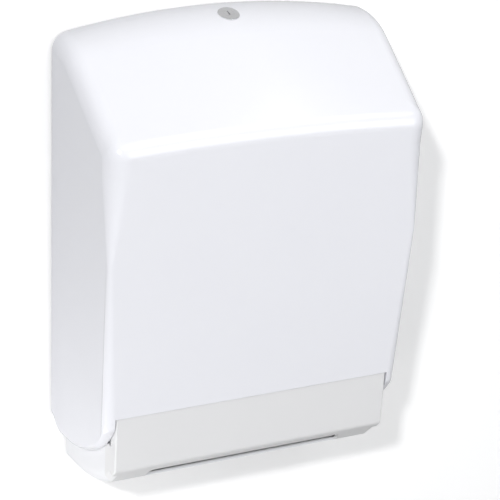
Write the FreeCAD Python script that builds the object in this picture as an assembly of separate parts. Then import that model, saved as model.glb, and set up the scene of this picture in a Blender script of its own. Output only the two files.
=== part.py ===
"""Wall dispenser for folded paper towels: a locking cover that swings down over a wall plate and tray.

Lengths are millimetres. Every shape is placed by X (right), D (distance out of the wall) and
H (height above the underside); at() turns these into the part's frame, whose origin is the centre of
the wall screws, with the front facing -Y and +Z up.
"""

import FreeCAD
import Part

import math
import os

Vector = FreeCAD.Vector

# Cover: outline seen from the front and from the side
COVER_WIDTH = 303.0  # at the wall
SHOULDER_NARROWING = 6.0
SHOULDER_WIDTH = COVER_WIDTH - SHOULDER_NARROWING  # front face at the shoulder
CHIN_NARROWING = 18.0
CHIN_WIDTH = COVER_WIDTH - CHIN_NARROWING  # front face at the panel joint
OVERALL_HEIGHT = 421.0  # underside to the crown of the roof
SHOULDER_HEIGHT = 344.0
JOINT_HEIGHT = 94.0  # where the cover ends and the front panel begins
SHOULDER_DEPTH = 129.0
FRONT_RAKE = 18.0
JOINT_DEPTH = SHOULDER_DEPTH - FRONT_RAKE
ROOF_ARCH_RADIUS = 725.0
SHOULDER_ARCH_RADIUS = 2500.0
BEND_DEPTH = 30.0  # where the level roof turns into the slope
BEND_RADIUS = 70.0
BROW_RADIUS = 17.0  # rounding round the top of the cover
WAIST_HEIGHT = 235.0  # where the upright corners are sharpest
WAIST_CORNER = 3.5
BROW_CORNER = 18.0
BROW_CORNER_HEIGHT = 316.0
FOOT_CORNER = 16.0  # upright corner radius, carried on below the cover
COVER_WALL = 3.0
COVER_REAR = 2.0  # clear of the wall

# Cover: lower edge of the sides
SKIRT_HEIGHT = 36.0
SKIRT_LEVEL_SETBACK = 81.0
SKIRT_LEVEL_END = JOINT_DEPTH - SKIRT_LEVEL_SETBACK
SKIRT_RADIUS = 91.0
SKIRT_TURN = 54.0
SKIRT_REAR_RADIUS = 20.0
SKIRT_REAR_SWEEP = 65.0
SKIRT_ROLL = 8.0  # the lower edge is rolled in towards the tray

# Cover: shallow hollow in each side, deepest at its lower front
SCOOP_DEPTH = 2.4
SCOOP_CREASE_SETBACK = 21.0
SCOOP_CREASE_DEPTH = JOINT_DEPTH - SCOOP_CREASE_SETBACK
SCOOP_CREASE_RADIUS = 9.0
SCOOP_TOP_HEIGHT = 290.0

# Tray and front panel
TRAY_NARROWING = 28.0
TRAY_WIDTH = COVER_WIDTH - TRAY_NARROWING  # at the wall
TRAY_CLOSING = 10.6
TRAY_FRONT_WIDTH = TRAY_WIDTH - TRAY_CLOSING  # at the panel's face
TRAY_WALL = 2.5
PARTING_SETBACK = 23.0
PARTING_DEPTH = JOINT_DEPTH - PARTING_SETBACK  # the tray ends and the panel begins
TRAY_CURVE_LENGTH = 68.0
TRAY_LEVEL_END = PARTING_DEPTH - TRAY_CURVE_LENGTH
TRAY_RADIUS = 125.6
TRAY_EDGE_RADIUS = 14.0
TRAY_SIDE_HEIGHT = 66.0
TRAY_REAR_HEIGHT = 56.0
LIP_ANGLE = 44.0
LIP_RADIUS = 6.0
PANEL_LEAN = 2.0
PANEL_STEP = 0.8
PANEL_DEPTH = JOINT_DEPTH - PANEL_STEP  # face of the panel at the joint
PANEL_CORNER_RADIUS = 1.6
CHEEK_BEVEL = 6.0
FOOT_SETBACK = 8.5
FOOT_DEPTH = JOINT_DEPTH - FOOT_SETBACK  # the cheek's bevel stops here
JOINT_GAP = 1.0
SIDE_GAP = 1.2  # between the cover and the tray or panel
SLOT_WIDTH = 190.0
SLOT_SETBACK = 11.0
SLOT_FRONT_DEPTH = JOINT_DEPTH - SLOT_SETBACK
SLOT_CORNER_RADIUS = 5.0

# Hinge at the bottom of the cover
HINGE_SETBACK = 31.0
HINGE_DEPTH = JOINT_DEPTH - HINGE_SETBACK
HINGE_HEIGHT = 62.0
PIN_RADIUS = 3.0
PIN_HEAD_RADIUS = 5.2
PIN_HEAD = 2.0
PIN_BITE = 3.4  # length held in the cover
RUNNING_CLEARANCE = 0.05
BUSH_RADIUS = 5.0
BUSH_FLANGE_RADIUS = 6.8
BUSH_FLANGE = 1.0
EAR_RADIUS = 8.0
EAR_THICKNESS = 6.5
BOSS_RADIUS = 7.0
SEAT_GAP = 0.3

# Wall plate
PLATE_THICKNESS = 3.0
PLATE_NARROWING = 17.0
PLATE_WIDTH = COVER_WIDTH - PLATE_NARROWING
PLATE_FOOT_NARROWING = 13.0
PLATE_FOOT_WIDTH = TRAY_WIDTH - PLATE_FOOT_NARROWING
PLATE_FOOT_HEIGHT = 122.0  # the plate is narrower below this
PLATE_BOTTOM = 4.0
PLATE_TOP_GAP = 2.5
PLATE_CORNER_RADIUS = 16.0
RIM_DEPTH = 12.0
RIM_WALL = 2.5
WALL_SCREW_SPACING_X = 200.0
WALL_SCREW_SPACING_H = 200.0
WALL_SCREW_CENTRE = 250.0
WALL_SCREW_HOLE_RADIUS = 2.75
WALL_PAD_RADIUS = 8.0
WALL_PAD_HEIGHT = 1.5

# Lock in the roof
LOCK_DEPTH = 27.0
LOCK_RING_RADIUS = 9.6
LOCK_RING_HEIGHT = 1.6
LOCK_RECESS = 0.7
LOCK_BARREL_RADIUS = 7.0
LOCK_BARREL_LENGTH = 19.0
LOCK_CORE_RADIUS = 4.6
LOCK_FIT = 0.1
KEYWAY_WIDTH = 1.4
KEYWAY_LENGTH = 6.0
KEYWAY_DEPTH = 9.0
LOCK_SEAT_RADIUS = 12.5
LOCK_SEAT_DEPTH = 6.5
WASHER_THICKNESS = 1.0
WASHER_RADIUS = 10.0
NUT_HEIGHT = 4.0
NUT_FLATS = 16.0
CAM_THICKNESS = 2.0
CAM_REACH = 15.0
CAM_WIDTH = 8.0
STUB_WIDTH = 5.0
CAM_SCREW_HEAD_RADIUS = 3.4
CAM_SCREW_HEAD = 2.0
CAM_SCREW_RADIUS = 1.5
CAM_SCREW_LENGTH = 7.0

# Keeper that the cam turns behind
KEEPER_THICKNESS = 2.0
KEEPER_NEAR_X = 8.6
KEEPER_WIDTH = 12.0
KEEPER_GAP = 1.2
KEEPER_OVERLAP = 3.4  # how far the upstand reaches past the cam
KEEPER_FOOT = 22.0

# Towel guides
STACK_WIDTH = 236.0
GUIDE_THICKNESS = 2.0
GUIDE_REACH = 76.0
GUIDE_FLANGE = 10.0
GUIDE_BOTTOM = 60.0
GUIDE_TOP = 200.0
GUIDE_CORNER_RADIUS = 14.0

# Small screws: shank, head and bite
SCREW_RADIUS = 1.75
SCREW_HEAD_RADIUS = 3.4
SCREW_HEAD = 1.8
SCREW_FIT = 0.05
TRAY_SCREW_X = 90.0
TRAY_SCREW_HEIGHTS = (24.0, 44.0)
GUIDE_SCREW_INSET = 18.0
PANEL_SCREW_INSET = 11.2
PANEL_SCREW_X = TRAY_FRONT_WIDTH / 2 - PANEL_SCREW_INSET
PANEL_SCREW_HEIGHT = 82.0
PANEL_BOSS_RADIUS = 4.5
PANEL_BOSS_LENGTH = 8.0
TAB_WIDTH = 16.0
TAB_THICKNESS = 2.5

# Rubber buffers that the cover closes against
BUFFER_RADIUS = 6.0
BUFFER_LENGTH = 15.0
BUFFER_INSET = 17.0
BUFFER_X = PLATE_WIDTH / 2 - BUFFER_INSET
BUFFER_DROP = 49.0  # below the crown
BUFFER_HEIGHT = OVERALL_HEIGHT - BUFFER_DROP
LUG_THICKNESS = 4.0
LUG_HEIGHT = 14.0
SCREW_POCKET = 0.3

FAR = COVER_WIDTH / 2 + 18.5  # beyond the cover on every side
BELOW = -40.0
ABOVE = 500.0


def at(x, d, h):
    """Point at X, distance D out of the wall and height H above the underside."""
    return Vector(x, -d, h - WALL_SCREW_CENTRE)


def place(point):
    """X, D and H of a point of the part's frame."""
    return point.x, -point.y, point.z + WALL_SCREW_CENTRE


def middle(edge):
    """X, D and H of the middle of an edge."""
    return place(edge.valueAt((edge.FirstParameter + edge.LastParameter) / 2))


def span(edge):
    """Extent of an edge along X, along D and along H, as three (low, high) pairs."""
    box = edge.BoundBox
    return (
        (box.XMin, box.XMax),
        (-box.YMax, -box.YMin),
        (box.ZMin + WALL_SCREW_CENTRE, box.ZMax + WALL_SCREW_CENTRE),
    )


def lines(points):
    """Straight edges through the points in turn."""
    return [Part.makeLine(a, b) for a, b in zip(points, points[1:])]


def arc(a, b, c):
    """Round edge from a through b to c."""
    return Part.Arc(a, b, c).toShape()


def block(x, d, h):
    """Box between (low, high) pairs along X, D and H."""
    return Part.makeBox(x[1] - x[0], d[1] - d[0], h[1] - h[0], at(x[0], d[1], h[0]))


def rod_x(x, d, h, radius):
    """Cylinder along X between a (low, high) pair."""
    return Part.makeCylinder(radius, x[1] - x[0], at(x[0], d, h), Vector(1, 0, 0))


def rod_d(x, d, h, radius):
    """Cylinder standing out of the wall between a (low, high) pair of D."""
    return Part.makeCylinder(radius, d[1] - d[0], at(x, d[0], h), Vector(0, -1, 0))


def side_prism(points, half_width):
    """Prism along X whose section is the closed outline of (D, H) points."""
    ends = [at(-half_width, d, h) for d, h in points]
    face = Part.Face(Part.Wire(lines(ends + ends[:1])))
    return face.extrude(Vector(2 * half_width, 0, 0))


def mirrored(shape):
    """The same piece on the left-hand side."""
    return shape.mirror(Vector(0, 0, 0), Vector(1, 0, 0))


def both(shape):
    """The piece and its mirror image as one compound."""
    return Part.makeCompound([shape, mirrored(shape)])


# Cover


def taper(h):
    """How much each side of the cover closes in per millimetre out of the wall, at height H."""
    low = (COVER_WIDTH - CHIN_WIDTH) / 2 / JOINT_DEPTH
    high = (COVER_WIDTH - SHOULDER_WIDTH) / 2 / SHOULDER_DEPTH
    return low + (high - low) * (h - JOINT_HEIGHT) / (SHOULDER_HEIGHT - JOINT_HEIGHT)


def cover_half_width(d, h, inset=0.0):
    """Half-width of the cover's plain side at D and H, moved in by the inset."""
    return COVER_WIDTH / 2 - inset - d * taper(h)


def front_rise():
    """Depth that the front face gains per millimetre of height."""
    return (SHOULDER_DEPTH - JOINT_DEPTH) / (SHOULDER_HEIGHT - JOINT_HEIGHT)


def front_depth(h, inset=0.0):
    """Depth of the cover's front face at height H, moved in by the inset."""
    return JOINT_DEPTH + front_rise() * (h - JOINT_HEIGHT) - inset * math.hypot(1, front_rise())


def plan_outline(h, radius, inset):
    """Level outline of the cover at H, with rounded front corners, run on behind the wall."""
    depth = front_depth(h, inset)
    slant = math.atan(taper(h))
    radius = max(radius - inset, WAIST_CORNER / 4)
    tangent = radius * math.tan((math.pi / 2 - slant) / 2)
    corner = cover_half_width(depth, h, inset)
    halfway = (slant + math.pi / 2) / 2
    centre = (corner - tangent, depth - radius)
    right = [
        at(cover_half_width(BELOW, h, inset), BELOW, h),
        at(corner + tangent * math.sin(slant), depth - tangent * math.cos(slant), h),
        at(centre[0] + radius * math.cos(halfway), centre[1] + radius * math.sin(halfway), h),
        at(corner - tangent, depth, h),
    ]
    left = [Vector(-p.x, p.y, p.z) for p in right]
    edges = lines([left[0], right[0], right[1]])
    edges.append(arc(*right[1:]))
    edges += lines([right[3], left[3]])
    edges.append(arc(*reversed(left[1:])))
    edges += lines([left[1], left[0]])
    return Part.Wire(edges)


def column(inset):
    """Upright body of the cover; its front corners sharpen to the waist and swell to the brow."""
    levels = [
        (BELOW, FOOT_CORNER),
        (WAIST_HEIGHT, WAIST_CORNER),
        (BROW_CORNER_HEIGHT, BROW_CORNER),
        (ABOVE, BROW_CORNER),
    ]
    return Part.makeLoft([plan_outline(h, r, inset) for h, r in levels], True, True)


def roof_section(d, inset):
    """Upright section across the roof at depth D: an arch over straight sides."""
    share = max(d - BEND_DEPTH, 0.0) / (SHOULDER_DEPTH - BEND_DEPTH)
    crown = OVERALL_HEIGHT + (SHOULDER_HEIGHT - OVERALL_HEIGHT) * share - inset
    bulge = 1 / ROOF_ARCH_RADIUS + (1 / SHOULDER_ARCH_RADIUS - 1 / ROOF_ARCH_RADIUS) * share
    eave = crown - bulge * FAR * FAR / 2
    top = arc(at(-FAR, d, eave), at(0, d, crown), at(FAR, d, eave))
    rest = lines([at(FAR, d, eave), at(FAR, d, BELOW * 2), at(-FAR, d, BELOW * 2), at(-FAR, d, eave)])
    return Part.Wire([top] + rest)


def roof(inset):
    """Everything below the roof: level at the back, then bent down in a slope."""
    back = Part.Face(roof_section(BELOW * 1.25, inset))
    back = back.extrude(Vector(0, BELOW * 1.25 - BEND_DEPTH, 0))
    slope = Part.makeLoft([roof_section(BEND_DEPTH, inset), roof_section(FAR, inset)], True, True)
    body = back.fuse(slope)
    bend = []
    for edge in body.Edges:
        x, d, h = span(edge)
        if x[1] - x[0] > FAR and abs(d[0] - BEND_DEPTH) + abs(d[1] - BEND_DEPTH) < 0.01 and h[0] > 0:
            bend.append(edge)
    return body.makeFillet(BEND_RADIUS - inset, bend)


def skirt_region(inset):
    """Everything above the curved lower edge of the cover's sides and in front of its rear edge."""
    radius = SKIRT_RADIUS - inset
    centre = (SKIRT_LEVEL_END, SKIRT_HEIGHT + SKIRT_RADIUS)
    turn = math.radians(SKIRT_TURN)
    corner_radius = SKIRT_REAR_RADIUS - inset
    sweep = math.radians(SKIRT_REAR_SWEEP)
    corner = (COVER_REAR + SKIRT_REAR_RADIUS * math.sin(sweep), SKIRT_HEIGHT + SKIRT_REAR_RADIUS)

    def on_skirt(angle):
        return at(-FAR, centre[0] + radius * math.sin(angle), centre[1] - radius * math.cos(angle))

    def on_corner(angle):
        away = corner_radius * math.sin(angle)
        return at(-FAR, corner[0] - away, corner[1] - corner_radius * math.cos(angle))

    end = on_skirt(turn)
    beyond = end + Vector(0, -FAR * math.cos(turn), FAR * math.sin(turn))
    rear_top = Vector(-FAR, on_corner(sweep).y, ABOVE)
    edges = lines([rear_top, on_corner(sweep)])
    edges.append(arc(on_corner(sweep), on_corner(sweep / 2), on_corner(0)))
    edges += lines([on_corner(0), on_skirt(0)])
    edges.append(arc(on_skirt(0), on_skirt(turn / 2), end))
    edges += lines([end, beyond, Vector(-FAR, beyond.y, ABOVE), rear_top])
    return Part.Face(Part.Wire(edges)).extrude(Vector(2 * FAR, 0, 0))


def brow_edges(body):
    """Edges between the roof and the upright faces."""
    found = []
    for edge in body.Edges:
        x, d, h = span(edge)
        behind = d[1] < 0
        across_roof = x[1] - x[0] > FAR and middle(edge)[1] < SHOULDER_DEPTH - BROW_RADIUS
        if h[0] > BROW_CORNER_HEIGHT and not behind and not across_roof:
            found.append(edge)
    return found


def roll_edges(body):
    """Edges between the curved underside and the upright faces."""
    found = []
    for edge in body.Edges:
        x, d, h = span(edge)
        across_back = x[1] - x[0] > FAR / 2 and middle(edge)[1] < SCOOP_CREASE_DEPTH
        if h[1] < JOINT_HEIGHT + COVER_WALL and not across_back:
            found.append(edge)
    return found


def scoop(inset):
    """Wedge taken out of the right-hand side: its crease meets the front corner at the top."""

    def level(h, depth, crease_d):
        front = front_depth(h) + SKIRT_ROLL
        crease = cover_half_width(crease_d, h, inset) - depth
        points = [
            at(FAR, 0, h),
            at(cover_half_width(0, h, inset), 0, h),
            at(crease, crease_d, h),
            at(crease + depth + (front - crease_d) / 2, front, h),
            at(FAR, front, h),
        ]
        return Part.Wire(lines(points + points[:1]))

    top_crease = front_depth(SCOOP_TOP_HEIGHT) - WAIST_CORNER
    wedge = Part.makeLoft(
        [level(BELOW, SCOOP_DEPTH, SCOOP_CREASE_DEPTH), level(SCOOP_TOP_HEIGHT, 0.0, top_crease)],
        True,
        True,
    )
    crease = []
    for edge in wedge.Edges:
        x, d, h = span(edge)
        if h[1] - h[0] > FAR and d[0] > SCOOP_CREASE_DEPTH - 1 and d[0] < SCOOP_CREASE_DEPTH + 1:
            crease.append(edge)
    return wedge.makeFillet(SCOOP_CREASE_RADIUS, crease)


def cover_body(inset):
    """The cover as if it were solid, moved in all round by the inset."""
    body = column(inset).common(roof(inset))
    body = body.makeFillet(BROW_RADIUS - inset, brow_edges(body))
    body = body.common(skirt_region(inset))
    body = body.makeFillet(SKIRT_ROLL - inset, roll_edges(body))
    wedge = scoop(inset)
    return body.cut(wedge).cut(mirrored(wedge))


def tray_half_width(d, gap=0.0):
    """Half-width of the tray and panel at depth D, with a gap outside them."""
    closing = (TRAY_WIDTH - TRAY_FRONT_WIDTH) / 2 / PANEL_DEPTH
    return TRAY_WIDTH / 2 - d * closing + gap


def tray_plan(gap, low, high, rear=BELOW, front=FAR):
    """Upright block over the plan of the tray and panel, with a gap outside it."""
    plan = [
        at(-tray_half_width(rear, gap), rear, low),
        at(tray_half_width(rear, gap), rear, low),
        at(tray_half_width(front, gap), front, low),
        at(-tray_half_width(front, gap), front, low),
    ]
    return Part.Face(Part.Wire(lines(plan + plan[:1]))).extrude(Vector(0, 0, high - low))


def below_joint(gap):
    """Region under the slanted joint between cover and panel, lowered by the gap."""
    line = JOINT_DEPTH + JOINT_HEIGHT - COVER_WALL / 2 - gap * math.sqrt(2)
    ceiling = line - PARTING_DEPTH - SKIRT_ROLL
    points = [(BELOW, BELOW), (FAR, BELOW), (FAR, line - FAR), (line - ceiling, ceiling), (BELOW, ceiling)]
    return side_prism(points, FAR)


def hinge_boss():
    """Right-hand boss inside the cover that holds the hinge pin."""
    return rod_x((boss_face(), cover_half_width(HINGE_DEPTH, HINGE_HEIGHT) - COVER_WALL),
                 HINGE_DEPTH, HINGE_HEIGHT, BOSS_RADIUS)


def ear_face():
    """X of the outer face of the tray's right-hand ear."""
    return tray_half_width(HINGE_DEPTH) + RUNNING_CLEARANCE


def boss_face():
    """X of the inner face of the cover's right-hand hinge boss."""
    return ear_face() + SEAT_GAP


def buffer_tip():
    """Depth of the face of the rubber buffers."""
    return PLATE_THICKNESS + BUFFER_LENGTH


def buffer_lug():
    """Right-hand lug inside the cover that closes against its buffer."""
    x = (BUFFER_X - BUFFER_RADIUS, COVER_WIDTH / 2)
    d = (buffer_tip() + SEAT_GAP, buffer_tip() + SEAT_GAP + LUG_THICKNESS)
    h = (BUFFER_HEIGHT - LUG_HEIGHT / 2, BUFFER_HEIGHT + LUG_HEIGHT / 2)
    return block(x, d, h)


def front_cover():
    """One-piece cover: roof, sides and front, open at the back and over the tray."""
    outer = cover_body(0.0)
    inner = cover_body(COVER_WALL)
    rear_face = min(inner.Faces, key=lambda face: abs(face.BoundBox.YMin + COVER_REAR + COVER_WALL)
                    + face.BoundBox.YLength * FAR)
    shell = outer.cut(inner).cut(rear_face.extrude(Vector(0, 2 * COVER_WALL, 0)))
    shell = shell.cut(tray_plan(SIDE_GAP, BELOW, ABOVE).common(below_joint(0.0)))
    fittings = [hinge_boss(), mirrored(hinge_boss()), buffer_lug(), mirrored(buffer_lug())]
    seat = on_lock(Part.makeCylinder(LOCK_SEAT_RADIUS, LOCK_SEAT_DEPTH, Vector(0, 0, -LOCK_SEAT_DEPTH)))
    shell = shell.fuse([piece.common(outer) for piece in fittings + [seat]])
    recess = Part.makeCylinder(LOCK_RING_RADIUS + LOCK_FIT, LOCK_SEAT_DEPTH, Vector(0, 0, -LOCK_RECESS))
    barrel_hole = Part.makeCylinder(LOCK_BARREL_RADIUS + LOCK_FIT, 4 * LOCK_SEAT_DEPTH,
                                    Vector(0, 0, -3 * LOCK_SEAT_DEPTH))
    pin_hole = rod_x((boss_face() - 1, boss_face() + PIN_BITE), HINGE_DEPTH, HINGE_HEIGHT, PIN_RADIUS)
    return shell.cut([on_lock(recess), on_lock(barrel_hole), pin_hole, mirrored(pin_hole)])


# Tray and panel


def under_outline(inset):
    """Start, middle and end of the tray's curved floor as D and H, moved in by the inset."""
    radius = TRAY_RADIUS - inset
    turn = math.asin((PARTING_DEPTH - TRAY_LEVEL_END) / radius)

    def on_floor(angle):
        return TRAY_LEVEL_END + radius * math.sin(angle), TRAY_RADIUS - radius * math.cos(angle)

    return on_floor(0), on_floor(turn / 2), on_floor(turn)


def floor_region(inset):
    """Everything above the tray's floor, between its back and the parting with the panel."""
    start, halfway, end = (at(-FAR, d, h) for d, h in under_outline(inset))
    rear = at(-FAR, PLATE_THICKNESS + inset, inset)
    top = Vector(0, 0, FAR)
    edges = lines([end, end + top, Vector(-FAR, rear.y, (end + top).z), rear, start])
    edges.append(arc(start, halfway, end))
    return Part.Face(Part.Wire(edges)).extrude(Vector(2 * FAR, 0, 0))


def tray_hull(inset):
    """The tray as if it were solid, moved in by the inset, with rounded lower side edges."""
    body = tray_plan(-inset, BELOW, ABOVE).common(floor_region(inset))
    low = []
    for edge in body.Edges:
        x, d, h = span(edge)
        if h[1] < JOINT_HEIGHT and x[1] - x[0] < FAR and d[1] - d[0] > 1:
            low.append(edge)
    return body.makeFillet(TRAY_EDGE_RADIUS - inset, low)


def parting_height(inset):
    """Height of the underside where the tray meets the panel."""
    return under_outline(inset)[2][1]


def tab_depth():
    """Depth of the front face of the tray's tabs, where the panel's bosses seat."""
    return panel_face(PANEL_SCREW_HEIGHT) - TRAY_WALL - PANEL_BOSS_LENGTH


def tray_tab():
    """Right-hand tab of the tray that the panel is screwed to, with the arm that carries it."""
    outer = tray_half_width(PARTING_DEPTH) - TRAY_WALL
    inner = PANEL_SCREW_X - TAB_WIDTH / 2
    d = (tab_depth() - TAB_THICKNESS, tab_depth())
    h = (HINGE_HEIGHT, PANEL_SCREW_HEIGHT + PANEL_BOSS_RADIUS)
    plate = block((inner, outer), d, h)
    arm = block((ear_face() - EAR_THICKNESS, outer), (HINGE_DEPTH, d[1]), (h[0], HINGE_HEIGHT + EAR_RADIUS))
    return plate.fuse(arm)


def towel_tray():
    """Tray with floor, sides, ears for the hinge and tabs for the panel; its front is open."""
    shell = tray_hull(0.0).cut(tray_hull(TRAY_WALL))
    sides = block((-FAR, FAR), (PLATE_THICKNESS + TRAY_WALL, FAR), (TRAY_SIDE_HEIGHT, ABOVE))
    back = block((-FAR, FAR), (BELOW, PLATE_THICKNESS + TRAY_WALL), (TRAY_REAR_HEIGHT, ABOVE))
    shell = shell.cut([sides, back])
    ear = rod_x((ear_face() - EAR_THICKNESS, ear_face()), HINGE_DEPTH, HINGE_HEIGHT, EAR_RADIUS)
    shell = shell.fuse([ear, mirrored(ear), tray_tab(), mirrored(tray_tab())])
    bores = [rod_x((0, FAR), HINGE_DEPTH, HINGE_HEIGHT, BUSH_RADIUS)]
    bores.append(rod_d(PANEL_SCREW_X, (0, FAR), PANEL_SCREW_HEIGHT, SCREW_RADIUS + SCREW_FIT))
    shell = shell.cut(bores + [mirrored(bore) for bore in bores])
    for x, h in tray_screw_places():
        shell = shell.cut(rod_d(x, (0, 2 * TRAY_WALL + PLATE_THICKNESS), h, SCREW_RADIUS + SCREW_FIT))
    return shell


def panel_face(h):
    """Depth of the panel's front face at height H."""
    return PANEL_DEPTH - (JOINT_HEIGHT - h) * math.tan(math.radians(PANEL_LEAN))


def panel_section():
    """Region behind the panel's leaning face and above its sloped lip, before the lip is rounded."""
    lip = math.tan(math.radians(LIP_ANGLE))
    lean = math.tan(math.radians(PANEL_LEAN))
    low = parting_height(0.0)
    foot_depth = panel_face(0.0)
    meet = (foot_depth + lean * (low - lip * PARTING_DEPTH)) / (1 - lean * lip)
    points = [
        (PARTING_DEPTH, low),
        (meet, low + lip * (meet - PARTING_DEPTH)),
        (panel_face(ABOVE), ABOVE),
        (PARTING_DEPTH, ABOVE),
    ]
    return points


def inset_outline(points, inset):
    """Move the lip and the face of the panel's side outline in by the inset."""
    lip = math.radians(LIP_ANGLE)
    lean = math.radians(PANEL_LEAN)
    (parting, low), corner, top, back = points
    raised = low + inset / math.cos(lip)
    shift = inset / math.cos(lean)
    meet = corner[0] - shift - math.tan(lean) * (corner[1] - raised + math.tan(lip) * parting)
    meet = meet / (1 - math.tan(lean) * math.tan(lip))
    corner = (meet, raised + math.tan(lip) * (meet - parting))
    return [(parting, raised), corner, (top[0] - shift, top[1]), back]


def cheek_bevel(inset):
    """Wedge taken off the lower outer edge of the right-hand cheek; the panel's face keeps a foot."""
    lip = math.radians(LIP_ANGLE)
    length = (FOOT_DEPTH - PARTING_DEPTH) / math.cos(lip)
    inward = Vector(0, math.sin(lip), math.cos(lip))
    along = Vector(0, -math.cos(lip), math.sin(lip))
    corner = at(tray_half_width(PARTING_DEPTH), PARTING_DEPTH, parting_height(0.0))
    shift = inset / math.sqrt(2)

    def point(x, up):
        return corner + Vector(x - shift, 0, 0) + inward * (up + shift) - along * length

    spare = 2 * CHEEK_BEVEL
    section = [
        point(-CHEEK_BEVEL - spare, -spare),
        point(spare, CHEEK_BEVEL + spare),
        point(spare, -spare),
    ]
    face = Part.Face(Part.Wire(lines(section + section[:1])))
    return face.extrude(along * (2 * length))


def panel_hull(inset):
    """The panel as if it were solid, moved in by the inset, with eased side edges and a round lip."""
    section = side_prism(inset_outline(panel_section(), inset), FAR)
    lip = []
    for edge in section.Edges:
        x, d, h = span(edge)
        if x[1] - x[0] > FAR and d[0] > PARTING_DEPTH + 1 and h[1] < JOINT_HEIGHT:
            lip.append(edge)
    section = section.makeFillet(LIP_RADIUS - inset, lip)
    body = tray_plan(-inset, BELOW, ABOVE).common(section)
    if inset < PANEL_CORNER_RADIUS:
        eased = []
        for edge in body.Edges:
            x, d, h = span(edge)
            if x[1] - x[0] < FAR and d[1] > PARTING_DEPTH + 1 and h[0] < JOINT_HEIGHT:
                eased.append(edge)
        body = body.makeFillet(PANEL_CORNER_RADIUS - inset, eased)
    bevel = cheek_bevel(inset)
    return body.cut([bevel, mirrored(bevel)])


def outlet_slot():
    """Cutter for the slot that the towels are drawn through, from the parting to the lip's edge."""
    x = (-SLOT_WIDTH / 2, SLOT_WIDTH / 2)
    cutter = block(x, (PARTING_DEPTH - SLOT_CORNER_RADIUS * 2, SLOT_FRONT_DEPTH), (BELOW, JOINT_HEIGHT / 2))
    corners = []
    for edge in cutter.Edges:
        ex, d, h = span(edge)
        if h[1] - h[0] > 1 and d[0] > PARTING_DEPTH:
            corners.append(edge)
    return cutter.makeFillet(SLOT_CORNER_RADIUS, corners)


def outlet_panel():
    """Front panel with its rounded lip, end cheeks and the slot under the lip."""
    shell = panel_hull(0.0).cut(panel_hull(TRAY_WALL)).common(below_joint(JOINT_GAP))
    shell = shell.common(block((-FAR, FAR), (BELOW, FAR), (BELOW, JOINT_HEIGHT + TRAY_WALL / 2)))
    hinge_room = rod_x((-FAR, FAR), HINGE_DEPTH, HINGE_HEIGHT, EAR_RADIUS + SEAT_GAP)
    room = ((PANEL_SCREW_X, FAR), (BELOW, tab_depth() + SEAT_GAP), (HINGE_HEIGHT - SEAT_GAP, ABOVE))
    arm_room = block(*room)
    shell = shell.cut([hinge_room, arm_room, mirrored(arm_room), outlet_slot()])
    boss = rod_d(PANEL_SCREW_X, (tab_depth(), PANEL_DEPTH), PANEL_SCREW_HEIGHT, PANEL_BOSS_RADIUS)
    boss = boss.common(panel_hull(0.0))
    bore = (0, tab_depth() + PANEL_BOSS_LENGTH)
    bore = rod_d(PANEL_SCREW_X, bore, PANEL_SCREW_HEIGHT, SCREW_RADIUS + SCREW_FIT)
    shell = shell.fuse([boss, mirrored(boss)])
    return shell.cut([bore, mirrored(bore)])


# Small screws


def screw(x, d, h, length):
    """Flat-headed screw driven towards the wall; D is the face that its head lies on."""
    shank = rod_d(x, (d - length, d), h, SCREW_RADIUS)
    return shank.fuse(rod_d(x, (d, d + SCREW_HEAD), h, SCREW_HEAD_RADIUS))


def tray_screw_places():
    """X and H of the screws that hold the tray's back to the wall plate."""
    return [(x, h) for x in (-TRAY_SCREW_X, TRAY_SCREW_X) for h in TRAY_SCREW_HEIGHTS]


def tray_screws():
    """Screws that hold the tray's back to the wall plate."""
    face = PLATE_THICKNESS + TRAY_WALL
    return Part.makeCompound([screw(x, face, h, face - SCREW_POCKET) for x, h in tray_screw_places()])


def panel_screws():
    """Screws that hold the panel to the tray's tabs, driven outwards from inside."""
    head = tab_depth() - TAB_THICKNESS
    tip = tab_depth() + PANEL_BOSS_LENGTH - SCREW_POCKET
    shank = rod_d(PANEL_SCREW_X, (head, tip), PANEL_SCREW_HEIGHT, SCREW_RADIUS)
    cap = rod_d(PANEL_SCREW_X, (head - SCREW_HEAD, head), PANEL_SCREW_HEIGHT, SCREW_HEAD_RADIUS)
    return both(shank.fuse(cap))


# Hinge


def hinge_bush():
    """Right-hand flanged bush in the tray's ear."""
    inner = ear_face() - EAR_THICKNESS
    tube = rod_x((inner, ear_face()), HINGE_DEPTH, HINGE_HEIGHT, BUSH_RADIUS)
    flange = rod_x((inner - BUSH_FLANGE, inner), HINGE_DEPTH, HINGE_HEIGHT, BUSH_FLANGE_RADIUS)
    bore = rod_x((0, FAR), HINGE_DEPTH, HINGE_HEIGHT, PIN_RADIUS + RUNNING_CLEARANCE)
    return tube.fuse(flange).cut(bore)


def hinge_pin():
    """Right-hand headed pin, held in the cover and turning in the bush."""
    under_head = ear_face() - EAR_THICKNESS - BUSH_FLANGE - SEAT_GAP
    shank = rod_x((under_head, boss_face() + PIN_BITE), HINGE_DEPTH, HINGE_HEIGHT, PIN_RADIUS)
    head = rod_x((under_head - PIN_HEAD, under_head), HINGE_DEPTH, HINGE_HEIGHT, PIN_HEAD_RADIUS)
    return shank.fuse(head)


# Wall plate


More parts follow.
